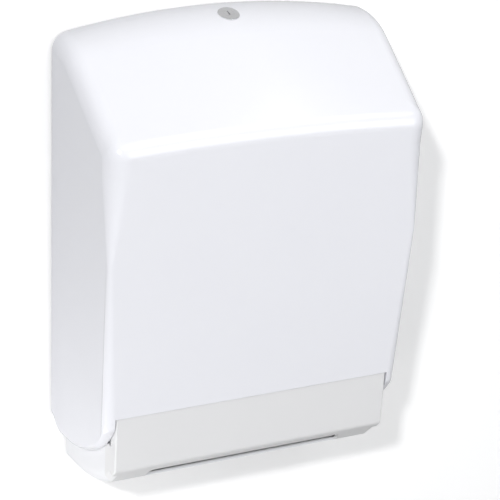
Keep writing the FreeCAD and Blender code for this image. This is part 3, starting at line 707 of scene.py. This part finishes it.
@dataclass(frozen=True)
class Moulding(Finish):
    """Moulded plastic or rubber, with a little dust on the faces that look up."""

    wave_scale: float = 14.0
    dust: float = 0.2
    dust_colour: Colour = (0.72, 0.71, 0.68)
    dust_dulls: float = 0.5
    coat: float = 0.0
    coat_roughness: float = 0.08
    bending: float = 1.49

    def make(self, effects: Effects) -> Look:
        """Build the material.

        Args:
            effects: The shared node groups.

        Returns:
            The material.
        """
        look, shader = self.start()
        tree = look.node_tree
        scales = {
            "Grain Scale": self.grain_scale,
            "Wave Scale": self.wave_scale,
            "Wave Share": self.grain.wave_share,
        }
        skin = self.effect(tree, effects.moulded_skin(), scales)
        dust = self.effect(tree, effects.settled_dust(), {"Amount": self.dust})
        clean = Wiring.blend(tree, skin.outputs["Patch"], self.colour, self.shade)
        veiled = Wiring.blend(tree, dust.outputs["Mask"], clean, self.dust_colour)
        tree.links.new(veiled, shader.inputs["Base Color"])
        rough = self.gloss_range(tree, skin.outputs["Patch"])
        dull = Wiring.reckon(
            tree, "MULTIPLY_ADD", dust.outputs["Mask"], self.dust_dulls, rough, clamp=True
        )
        tree.links.new(dull, shader.inputs["Roughness"])
        shader.inputs["Coat Weight"].default_value = self.coat
        shader.inputs["Coat Roughness"].default_value = self.coat_roughness
        shader.inputs["IOR"].default_value = self.bending
        self.raise_bump(tree, shader, skin.outputs["Height"])
        return look


@dataclass(frozen=True)
class Metal(Finish):
    """Bare or plated metal, with the lines or the soft streaks of its making."""

    def make(self, effects: Effects) -> Look:
        """Build the material.

        Args:
            effects: The shared node groups.

        Returns:
            The material.
        """
        look, shader = self.start()
        tree = look.node_tree
        scales = {"Line Scale": self.grain_scale, "Run": self.grain.run}
        lines = self.effect(tree, effects.drawn_lines(), scales)
        streak = lines.outputs["Streak"]
        blend = Wiring.blend(tree, streak, self.colour, self.shade)
        tree.links.new(blend, shader.inputs["Base Color"])
        tree.links.new(self.gloss_range(tree, streak), shader.inputs["Roughness"])
        shader.inputs["Metallic"].default_value = 1.0
        self.raise_bump(tree, shader, lines.outputs["Height"])
        return look


COVER_WHITE = Moulding(
    name="cover_gloss_white",
    colour=(0.86, 0.865, 0.905),
    shade=(0.835, 0.84, 0.885),
    gloss=0.2,
    spread=0.03,
    grain=Grain.POLISHED,
    grain_scale=420.0,
    relief=0.012,
    wave_scale=9.0,
    dust=0.12,
    coat=0.3,
)
TRAY_WHITE = Moulding(
    name="tray_satin_white",
    colour=(0.85, 0.855, 0.875),
    shade=(0.82, 0.825, 0.85),
    gloss=0.36,
    spread=0.05,
    grain=Grain.SPARKED,
    grain_scale=1400.0,
    relief=0.018,
    dust=0.25,
)
PANEL_GREY = Moulding(
    name="panel_satin_grey",
    colour=(0.79, 0.79, 0.795),
    shade=(0.765, 0.765, 0.775),
    gloss=0.38,
    spread=0.05,
    grain=Grain.SPARKED,
    grain_scale=1500.0,
    relief=0.018,
    wave_scale=11.0,
)
PLATE_WHITE = Moulding(
    name="plate_matt_white",
    colour=(0.8, 0.805, 0.815),
    shade=(0.765, 0.77, 0.785),
    gloss=0.5,
    spread=0.06,
    grain=Grain.SPARKED,
    grain_scale=1100.0,
    relief=0.025,
    dust=0.6,
)
GUIDE_WHITE = Moulding(
    name="guide_matt_white",
    colour=(0.8, 0.805, 0.815),
    shade=(0.77, 0.775, 0.79),
    gloss=0.46,
    spread=0.06,
    grain=Grain.SPARKED,
    grain_scale=1200.0,
    relief=0.022,
    dust=0.4,
)
BUSH_NATURAL = Moulding(
    name="bush_natural_plastic",
    colour=(0.8, 0.78, 0.7),
    shade=(0.75, 0.73, 0.64),
    gloss=0.42,
    spread=0.05,
    grain=Grain.POLISHED,
    grain_scale=900.0,
    relief=0.01,
    dust=0.1,
)
BUFFER_RUBBER = Moulding(
    name="buffer_soft_rubber",
    colour=(0.03, 0.03, 0.032),
    shade=(0.05, 0.05, 0.05),
    gloss=0.78,
    spread=0.06,
    grain=Grain.SPARKED,
    grain_scale=1800.0,
    relief=0.03,
    dust=0.5,
    dust_colour=(0.3, 0.29, 0.27),
)
LOCK_NICKEL = Metal(
    name="lock_bright_nickel",
    colour=(0.86, 0.86, 0.87),
    shade=(0.78, 0.78, 0.79),
    gloss=0.2,
    spread=0.05,
    grain=Grain.POLISHED,
    grain_scale=1500.0,
    relief=0.004,
)
ZINC_STEEL = Metal(
    name="zinc_plated_steel",
    colour=(0.64, 0.655, 0.67),
    shade=(0.54, 0.555, 0.57),
    gloss=0.34,
    spread=0.08,
    grain=Grain.DRAWN,
    grain_scale=1100.0,
    relief=0.012,
)


class Wardrobe:
    """Every finish as a material, and which node wears which."""

    NODES: dict[str, Finish] = {
        "front_cover": COVER_WHITE,
        "towel_tray": TRAY_WHITE,
        "outlet_panel": PANEL_GREY,
        "back_plate": PLATE_WHITE,
        "towel_guide_right": GUIDE_WHITE,
        "towel_guide_left": GUIDE_WHITE,
        "hinge_bush_right": BUSH_NATURAL,
        "hinge_bush_left": BUSH_NATURAL,
        "cover_buffer_right": BUFFER_RUBBER,
        "cover_buffer_left": BUFFER_RUBBER,
        "lock_barrel": LOCK_NICKEL,
        "lock_core": LOCK_NICKEL,
        "lock_nut": ZINC_STEEL,
        "lock_washer": ZINC_STEEL,
        "lock_cam": ZINC_STEEL,
        "latch_keeper": ZINC_STEEL,
        "hinge_pin_right": ZINC_STEEL,
        "hinge_pin_left": ZINC_STEEL,
        "guide_screws": ZINC_STEEL,
        "tray_screws": ZINC_STEEL,
        "panel_screws": ZINC_STEEL,
        "keeper_screws": ZINC_STEEL,
        "cam_screw": ZINC_STEEL,
    }

    def __init__(self) -> None:
        """Start with no material made."""
        self.effects = Effects()
        self.made: dict[str, Look] = {}

    def material(self, finish: Finish) -> Look:
        """Return a finish's material, making it the first time.

        Args:
            finish: The finish.

        Returns:
            Its material.
        """
        if finish.name not in self.made:
            self.made[finish.name] = finish.make(self.effects)
        return self.made[finish.name]

    def dress(self, piece: Piece, finish: Finish) -> None:
        """Give a piece one finish all over.

        Args:
            piece: The object.
            finish: The finish it wears.
        """
        piece.data.materials.clear()
        piece.data.materials.append(self.material(finish))

    def dress_nodes(self, nodes: dict[str, Piece]) -> None:
        """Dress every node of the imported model.

        Args:
            nodes: The nodes by name.
        """
        for name, piece in nodes.items():
            self.dress(piece, self.NODES[name])
            LOG.info("dressed %s in %s", name, self.NODES[name].name)


# Fittings


@dataclass
class CrossHeadScrew:
    """One small screw with a rounded head and a cross recess, head up, seat at height 0."""

    head_radius: float = 3.4
    head_height: float = 1.8
    shank_radius: float = 1.75
    recess_reach: float = 1.9
    recess_width: float = 0.75
    recess_depth: float = 1.2
    recess_overrun: float = 1.0
    dome_share: float = 0.62
    dome_steps: int = 5
    thread_pitch: float = 0.8
    thread_depth: float = 0.16
    shank_sides: int = 24
    crisp_angle: float = 35.0

    def head(self) -> Piece:
        """Model the head: a cylinder, rounded over its top edge and cut by the recess.

        Returns:
            The head.
        """
        crest = self.head_height * MM * AT_THE_CREST
        head = Bench.cylinder("screw_head", self.head_radius, 0.0, self.head_height)
        dome = self.head_height * self.dome_share
        Bench.round_edges(head, lambda a, b: min(a.z, b.z) > crest, dome, self.dome_steps)
        low = self.head_height - self.recess_depth
        for turn in (0.0, math.pi / 2):
            cutter = Bench.box(
                "recess",
                (-self.recess_reach, -self.recess_width / 2, low),
                (self.recess_reach, self.recess_width / 2, self.head_height + self.recess_overrun),
            )
            cutter.data.transform(Matrix.Rotation(turn, 4, "Z"))
            Bench.cut(head, cutter)
        return head

    def shank(self, length: float) -> Piece:
        """Model the shank as a stack of thread rings drawn out by extrusion.

        Args:
            length: Length under the head in millimetres.

        Returns:
            The shank.
        """
        shank = Bench.cylinder(
            "screw_shank", self.shank_radius, -self.thread_pitch, 0.0, self.shank_sides
        )
        turns = max(1, int(length / self.thread_pitch) - 1)
        step = (length - self.thread_pitch) / turns
        Bench.pick_faces(shank, (0.0, 0.0, -1.0))
        share = 1 - self.thread_depth / self.shank_radius
        down = {"value": (0, 0, -step / 2 * MM)}
        for index in range(2 * turns):
            size = share if index % 2 == 0 else 1 / share
            bpy.ops.mesh.extrude_region_move(TRANSFORM_OT_translate=down)
            bpy.ops.transform.resize(value=(size, size, 1.0))
        bpy.ops.object.mode_set(mode="OBJECT")
        return shank

    def model(self, length: float) -> Piece:
        """Model the whole screw.

        Args:
            length: Length under the head in millimetres.

        Returns:
            The screw.
        """
        whole = Bench.join("screw", [self.head(), self.shank(length)])
        return Bench.smooth(whole, self.crisp_angle)


@dataclass
class ScrewRow:
    """Screws that stand for one node, placed from the node's own box."""

    node: str
    body: Body
    towards_wall: bool = True
    first_turn: float = 0.7
    turn_step: float = 1.1
    pattern: CrossHeadScrew = field(default_factory=CrossHeadScrew)

    def places(self) -> list[Vector]:
        """Find where each screw's axis crosses the wall's plane.

        Returns:
            Points in metres, with Y left at 0.
        """
        low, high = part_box(self.node)
        reach = self.pattern.head_radius * MM
        across = sorted({round(low.x + reach, 6), round(high.x - reach, 6)})
        upward = sorted({round(low.z + reach, 6), round(high.z - reach, 6)})
        return [Vector((x, 0.0, z)) for x in across for z in upward]

    def build(self, wardrobe: Wardrobe) -> Piece:
        """Model the screws, dress them and let them ride.

        Args:
            wardrobe: The finishes.

        Returns:
            The joined screws.
        """
        low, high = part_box(self.node)
        length = (high.y - low.y) / MM - self.pattern.head_height
        pattern = self.pattern.model(length)
        if self.towards_wall:
            seat = low.y + self.pattern.head_height * MM
            turn = Matrix.Rotation(math.pi / 2, 4, "X")
        else:
            seat = high.y - self.pattern.head_height * MM
            turn = Matrix.Rotation(-math.pi / 2, 4, "X")
        copies = []
        for index, place in enumerate(self.places()):
            spin = Matrix.Rotation(self.first_turn + self.turn_step * index, 4, "Z")
            move = Matrix.Translation((place.x, seat, place.z)) @ turn @ spin
            copies.append(Bench.copy(pattern, move))
        bpy.data.objects.remove(pattern)
        screws = Bench.join(self.node + "_cross", copies)
        wardrobe.dress(screws, ZINC_STEEL)
        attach(screws, self.body.value)
        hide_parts(self.node)
        LOG.info("modelled %s", screws.name)
        return screws


@dataclass
class LockTrim:
    """Wards and shutter in the keyway, and the screw under the cam, on the lock's tilted axis."""

    foot: Point = (0.0, -27.0, 167.77)
    tilt: float = 17.472
    top: float = 0.9
    keyway_width: float = 1.4
    keyway_length: float = 6.0
    ward_reach: float = 0.4
    ward_depth: float = 6.0
    ward_drop: float = 0.3
    rear_ward: tuple[float, float] = (-1.9, -0.9)
    front_ward: tuple[float, float] = (0.5, 1.6)
    shutter_drop: float = 1.6
    shutter_thickness: float = 0.4
    softening: float = 0.12
    crisp_angle: float = 35.0
    cam_under: float = -21.3
    cam_head: float = 2.0
    cam_head_radius: float = 3.4
    cam_shank_radius: float = 1.5
    cam_shank_length: float = 6.7

    def stand(self) -> Matrix:
        """Move from an upright axis at the origin to the lock's own axis.

        Returns:
            The move, in metres.
        """
        place = Vector(self.foot) * MM
        return Matrix.Translation(place) @ Matrix.Rotation(math.radians(self.tilt), 4, "X")

    def wards(self) -> Piece:
        """Model the two wards that narrow the keyway and the shutter across its mouth.

        Returns:
            The joined wards and shutter.
        """
        half = self.keyway_width / 2
        inner = half - self.ward_reach
        low, high = self.top - self.ward_depth, self.top - self.ward_drop
        rear_low, rear_high = self.rear_ward
        front_low, front_high = self.front_ward
        left = Bench.box("ward", (-half, rear_low, low), (-inner, rear_high, high))
        right = Bench.box("ward", (inner, front_low, low), (half, front_high, high))
        reach = self.keyway_length / 2
        drop = self.top - self.shutter_drop
        under = drop - self.shutter_thickness
        shutter = Bench.box("shutter", (-half, -reach, under), (half, reach, drop))
        parts = [Bench.soften(part, self.softening) for part in (left, right, shutter)]
        return Bench.join("keyway_wards", parts)

    def cam_screw(self) -> Piece:
        """Model the screw under the cam, head down.

        Returns:
            The screw.
        """
        low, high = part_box("cam_screw")
        pattern = CrossHeadScrew(
            head_radius=self.cam_head_radius,
            head_height=self.cam_head,
            shank_radius=self.cam_shank_radius,
        )
        slant = math.radians(self.tilt)
        width = 2 * self.cam_head_radius
        length = ((high.z - low.z) / MM - width * math.sin(slant)) / math.cos(slant) - self.cam_head
        screw = pattern.model(min(length, self.cam_shank_length))
        under = Matrix.Translation((0, 0, self.cam_under * MM))
        screw.data.transform(under @ Matrix.Rotation(math.pi, 4, "X"))
        screw.name = "cam_screw_cross"
        return screw

    def build(self, wardrobe: Wardrobe) -> None:
        """Model, place and dress the lock's small pieces.

        Args:
            wardrobe: The finishes.
        """
        wards = self.wards()
        screw = self.cam_screw()
        pieces = ((wards, LOCK_NICKEL, "lock_nickel"), (screw, ZINC_STEEL, "zinc_steel"))
        for piece, finish, slot in pieces:
            piece.data.transform(self.stand())
            Bench.smooth(piece, self.crisp_angle)
            wardrobe.dress(piece, finish)
            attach(piece, Body.LOCK.value)
            LOG.info("modelled %s", piece.name)
        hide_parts("cam_screw")


@dataclass
class TrayRails:
    """Low rails on the tray's curved floor that the lowest towel slides on."""

    centre_depth: float = 20.0
    centre_height: float = 125.6
    floor_radius: float = 123.1
    start_depth: float = 12.0
    turn: float = 29.0
    turn_steps: int = 18
    width: float = 1.4
    height: float = 1.1
    root: float = 0.3
    softening: float = 0.35
    soften_from: float = 60.0
    merge_within: float = 0.01
    spread: tuple[float, ...] = (-84.0, -42.0, 0.0, 42.0, 84.0)
    datum: float = 250.0

    def rail(self) -> Piece:
        """Spin one rail's section along the floor's curve.

        Returns:
            The rail, in the middle of the tray.
        """
        floor = self.centre_height - self.floor_radius - self.datum
        front = -self.centre_depth
        half = self.width / 2
        rail = Bench.box(
            "rail",
            (-half, front, floor - self.root),
            (half, -self.start_depth, floor + self.height),
        )
        Bench.pick_faces(rail, (0.0, -1.0, 0.0))
        bpy.ops.mesh.spin(
            steps=self.turn_steps,
            angle=math.radians(self.turn),
            center=(0.0, front * MM, (self.centre_height - self.datum) * MM),
            axis=(1.0, 0.0, 0.0),
        )
        bpy.ops.mesh.select_all(action="SELECT")
        bpy.ops.mesh.remove_doubles(threshold=self.merge_within * MM)
        bpy.ops.mesh.normals_make_consistent(inside=False)
        bpy.ops.object.mode_set(mode="OBJECT")
        return Bench.soften(rail, self.softening, angle=self.soften_from)

    def build(self, wardrobe: Wardrobe) -> Piece:
        """Model the rails and dress them.

        Args:
            wardrobe: The finishes.

        Returns:
            The joined rails.
        """
        piece = Bench.row("tray_rails", self.rail(), self.spread)
        wardrobe.dress(piece, TRAY_WHITE)
        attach(piece, Body.HOUSING.value)
        LOG.info("modelled %s", piece.name)
        return piece


@dataclass
class TrayBead:
    """Rounded upstand along the tray's front edge, which the towels are drawn over."""

    half_length: float = 93.0
    front_depth: float = 87.9
    thickness: float = 3.6
    foot: float = -229.2
    top: float = -226.5
    rounding: float = 1.6
    rounding_steps: int = 5
    crest_within: float = 0.1

    def build(self, wardrobe: Wardrobe) -> Piece:
        """Model the upstand and dress it.

        Args:
            wardrobe: The finishes.

        Returns:
            The upstand.
        """
        bead = Bench.box(
            "tray_bead",
            (-self.half_length, -self.front_depth, self.foot),
            (self.half_length, -self.front_depth + self.thickness, self.top),
        )
        crest = (self.top - self.crest_within) * MM
        Bench.round_edges(
            bead, lambda a, b: min(a.z, b.z) > crest, self.rounding, self.rounding_steps
        )
        Bench.smooth(bead)
        wardrobe.dress(bead, TRAY_WHITE)
        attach(bead, Body.HOUSING.value)
        LOG.info("modelled %s", bead.name)
        return bead


@dataclass
class CoverRibs:
    """Low upright ribs that stiffen the inside of the cover's front."""

    foot: Point = (0.0, -108.0, -156.0)
    rake: float = 4.118
    low: float = 14.0
    high: float = 214.0
    height: float = 1.5
    width: float = 1.6
    root: float = 0.3
    rounding_share: float = 0.36
    rounding_steps: int = 4
    spread: tuple[float, ...] = (-96.0, -48.0, 0.0, 48.0, 96.0)

    def rib(self) -> Piece:
        """Model one rib with a rounded crest, leaning with the front.

        Returns:
            The rib, in the middle of the cover.
        """
        half = self.width / 2
        rib = Bench.box("rib", (-half, -self.root, self.low), (half, self.height, self.high))
        crest = self.height * MM * AT_THE_CREST
        rounding = self.width * self.rounding_share
        Bench.round_edges(rib, lambda a, b: min(a.y, b.y) > crest, rounding, self.rounding_steps)
        lean = Matrix.Rotation(math.radians(self.rake), 4, "X")
        rib.data.transform(Matrix.Translation(Vector(self.foot) * MM) @ lean)
        return rib

    def build(self, wardrobe: Wardrobe) -> Piece:
        """Model the ribs and dress them.

        Args:
            wardrobe: The finishes.

        Returns:
            The joined ribs.
        """
        piece = Bench.row("cover_ribs", self.rib(), self.spread)
        wardrobe.dress(piece, COVER_WHITE)
        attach(piece, Body.COVER.value)
        LOG.info("modelled %s", piece.name)
        return piece


@dataclass
class PlateRibs:
    """Upright ribs moulded on the wall plate behind the towels."""

    face_depth: float = 3.0
    height: float = 1.2
    width: float = 1.8
    root: float = 0.2
    low: float = -185.0
    high: float = 118.0
    rounding: float = 0.6
    rounding_steps: int = 4
    spread: tuple[float, ...] = (-72.0, -36.0, 0.0, 36.0, 72.0)

    def rib(self) -> Piece:
        """Model one rib, rounded all round its front.

        Returns:
            The rib, in the middle of the plate.
        """
        half = self.width / 2
        rib = Bench.box(
            "rib",
            (-half, -self.face_depth - self.height, self.low),
            (half, -self.face_depth + self.root, self.high),
        )
        crest = -(self.face_depth + self.height) * MM * AT_THE_CREST
        Bench.round_edges(
            rib, lambda a, b: max(a.y, b.y) < crest, self.rounding, self.rounding_steps
        )
        return rib

    def build(self, wardrobe: Wardrobe) -> Piece:
        """Model the ribs and dress them.

        Args:
            wardrobe: The finishes.

        Returns:
            The joined ribs.
        """
        piece = Bench.row("plate_ribs", self.rib(), self.spread)
        wardrobe.dress(piece, PLATE_WHITE)
        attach(piece, Body.HOUSING.value)
        LOG.info("modelled %s", piece.name)
        return piece


# Surroundings


@dataclass
class Lamp:
    """One soft lamp."""

    name: str
    place: Point
    target: Point
    width: float
    height: float
    watts: float

    def hang(self) -> Piece:
        """Make the lamp and turn it to its target.

        Returns:
            The lamp.
        """
        light = bpy.data.lights.new(self.name, "AREA")
        light.shape = "RECTANGLE"
        light.size = self.width
        light.size_y = self.height
        light.energy = self.watts
        lamp = bpy.data.objects.new(self.name, light)
        bpy.context.scene.collection.objects.link(lamp)
        away = Vector(self.place) - Vector(self.target)
        lamp.rotation_euler = away.to_track_quat("Z", "Y").to_euler()
        lamp.location = self.place
        LOG.info("lamp %s", self.name)
        return lamp


@dataclass
class Studio:
    """Wall, floor, lamps, sky and camera."""

    camera_place: Point = (-0.6939, -1.4644, 0.5885)
    camera_right: Point = (0.89943, -0.43521, 0.04022)
    camera_up: Point = (0.12812, 0.35052, 0.92775)
    lens: float = 137.6
    sensor: float = 36.0
    wall_gap: float = 0.0004
    open_within: float = 0.0015
    wall_reach: float = 3.0
    wall_roughness: float = 0.95
    floor_drop: float = 1.1
    sky_colour: Colour = (0.97, 0.98, 1.0)
    sky_strength: float = 0.45
    wall_colour: Colour = (0.42, 0.42, 0.42)
    wall_seen: Colour = (0.92, 0.92, 0.92)
    wall_lift: float = 0.155
    lamps: list[Lamp] = field(default_factory=lambda: [
        Lamp("key_softbox", (-2.109, -2.764, 2.036), (0.0, -0.06, -0.02), 0.24, 0.24, 80.0),
        Lamp("top_softbox", (0.7, -0.86, 1.7), (0.05, -0.06, 0.05), 1.2, 0.8, 6.6),
        Lamp("low_left_fill", (-0.42, -0.16, -0.52), (-0.13, -0.08, -0.2), 0.2, 0.2, 1.1),
        Lamp("rear_fill", (-0.9, 1.9, 0.9), (0.0, 0.0, 0.0), 1.2, 1.2, 14.0),
        Lamp("right_fill", (1.05, -2.1, 0.6), (0.0, -0.06, 0.0), 1.4, 1.2, 12.0),
    ])

    def build(self) -> None:
        """Make the surroundings in order."""
        self.sky()
        paint = self.pale()
        wall_turn = (math.pi / 2, 0.0, 0.0)
        self.sheet("wall", (0.0, self.wall_gap, 0.0), wall_turn, paint)
        below = (0.0, -self.wall_reach + self.wall_gap, -self.floor_drop)
        self.sheet("floor", below, (0.0, 0.0, 0.0), paint)
        for lamp in self.lamps:
            lamp.hang()
        self.camera()
        bpy.context.scene.view_settings.view_transform = "Standard"

    def sky(self) -> None:
        """Even light from all round, white where the camera looks past the wall."""
        world = bpy.data.worlds.new("studio_sky")
        bpy.context.scene.world = world
        world.use_nodes = True
        tree = world.node_tree
        light = tree.nodes["Background"]
        light.inputs["Color"].default_value = (*self.sky_colour, 1.0)
        light.inputs["Strength"].default_value = self.sky_strength
        seen = tree.nodes.new("ShaderNodeBackground")
        seen.inputs["Color"].default_value = (1.0, 1.0, 1.0, 1.0)
        path = tree.nodes.new("ShaderNodeLightPath")
        mix = Wiring.choose(
            tree,
            path.outputs["Is Camera Ray"],
            light.outputs["Background"],
            seen.outputs["Background"],
        )
        tree.links.new(mix, tree.nodes["World Output"].inputs["Surface"])

    def pale(self) -> Look:
        """White paint that the camera sees a little brighter than it lights the part.

        A painted sheet is clear from behind and to light that starts close to it, so that the
        part's back is seen and lit.

        Returns:
            The material.
        """
        look = bpy.data.materials.new("studio_white")
        look.use_nodes = True
        tree = look.node_tree
        shader = tree.nodes["Principled BSDF"]
        shader.inputs["Roughness"].default_value = self.wall_roughness
        shader.inputs["Specular IOR Level"].default_value = 0.0
        path = tree.nodes.new("ShaderNodeLightPath").outputs
        paint = Wiring.blend(tree, path["Is Camera Ray"], self.wall_colour, self.wall_seen)
        tree.links.new(paint, shader.inputs["Base Color"])
        seen = Wiring.reckon(tree, "MAXIMUM", path["Is Camera Ray"], path["Is Glossy Ray"])
        lift = Wiring.reckon(tree, "MULTIPLY", seen, self.wall_lift)
        glow = tree.nodes.new("ShaderNodeEmission")
        tree.links.new(lift, glow.inputs["Strength"])
        both = tree.nodes.new("ShaderNodeAddShader")
        tree.links.new(shader.outputs["BSDF"], both.inputs[0])
        tree.links.new(glow.outputs["Emission"], both.inputs[1])
        behind = tree.nodes.new("ShaderNodeNewGeometry").outputs["Backfacing"]
        near = Wiring.reckon(tree, "LESS_THAN", path["Ray Length"], self.open_within)
        opened = Wiring.reckon(tree, "MAXIMUM", behind, near)
        clear = tree.nodes.new("ShaderNodeBsdfTransparent").outputs["BSDF"]
        mix = Wiring.choose(tree, opened, both.outputs["Shader"], clear)
        tree.links.new(mix, tree.nodes["Material Output"].inputs["Surface"])
        return look

    def sheet(self, name: str, place: Point, turn: Point, paint: Look) -> None:
        """Lay one painted sheet, which isn't part of the object.

        Args:
            name: Name of the sheet.
            place: Its middle, in metres.
            turn: Its turn about X, Y and Z.
            paint: Its material.
        """
        Bench.clear()
        bpy.ops.mesh.primitive_plane_add(size=2 * self.wall_reach, location=place, rotation=turn)
        backdrop = Bench.settle(Bench.start(name))
        backdrop.data.materials.append(paint)

    def camera(self) -> None:
        """Camera at the place and angle of the photograph."""
        lens = bpy.data.cameras.new("camera")
        lens.lens = self.lens
        lens.sensor_width = self.sensor
        camera = bpy.data.objects.new("camera", lens)
        bpy.context.scene.collection.objects.link(camera)
        right = Vector(self.camera_right)
        up = Vector(self.camera_up)
        turn = Matrix((right, up, right.cross(up))).transposed().to_4x4()
        camera.matrix_world = Matrix.Translation(self.camera_place) @ turn
        bpy.context.scene.camera = camera


def main() -> None:
    """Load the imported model, dress it and set the studio."""
    logging.basicConfig(level=logging.INFO, format="%(message)s")
    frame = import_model()
    wardrobe = Wardrobe()
    wardrobe.dress_nodes(frame["nodes"])
    for node in ("guide_screws", "tray_screws", "keeper_screws"):
        ScrewRow(node, Body.HOUSING).build(wardrobe)
    ScrewRow("panel_screws", Body.HOUSING, towards_wall=False).build(wardrobe)
    LockTrim().build(wardrobe)
    TrayRails().build(wardrobe)
    TrayBead().build(wardrobe)
    PlateRibs().build(wardrobe)
    CoverRibs().build(wardrobe)
    Studio().build()


if __name__ == "__main__":
    main()
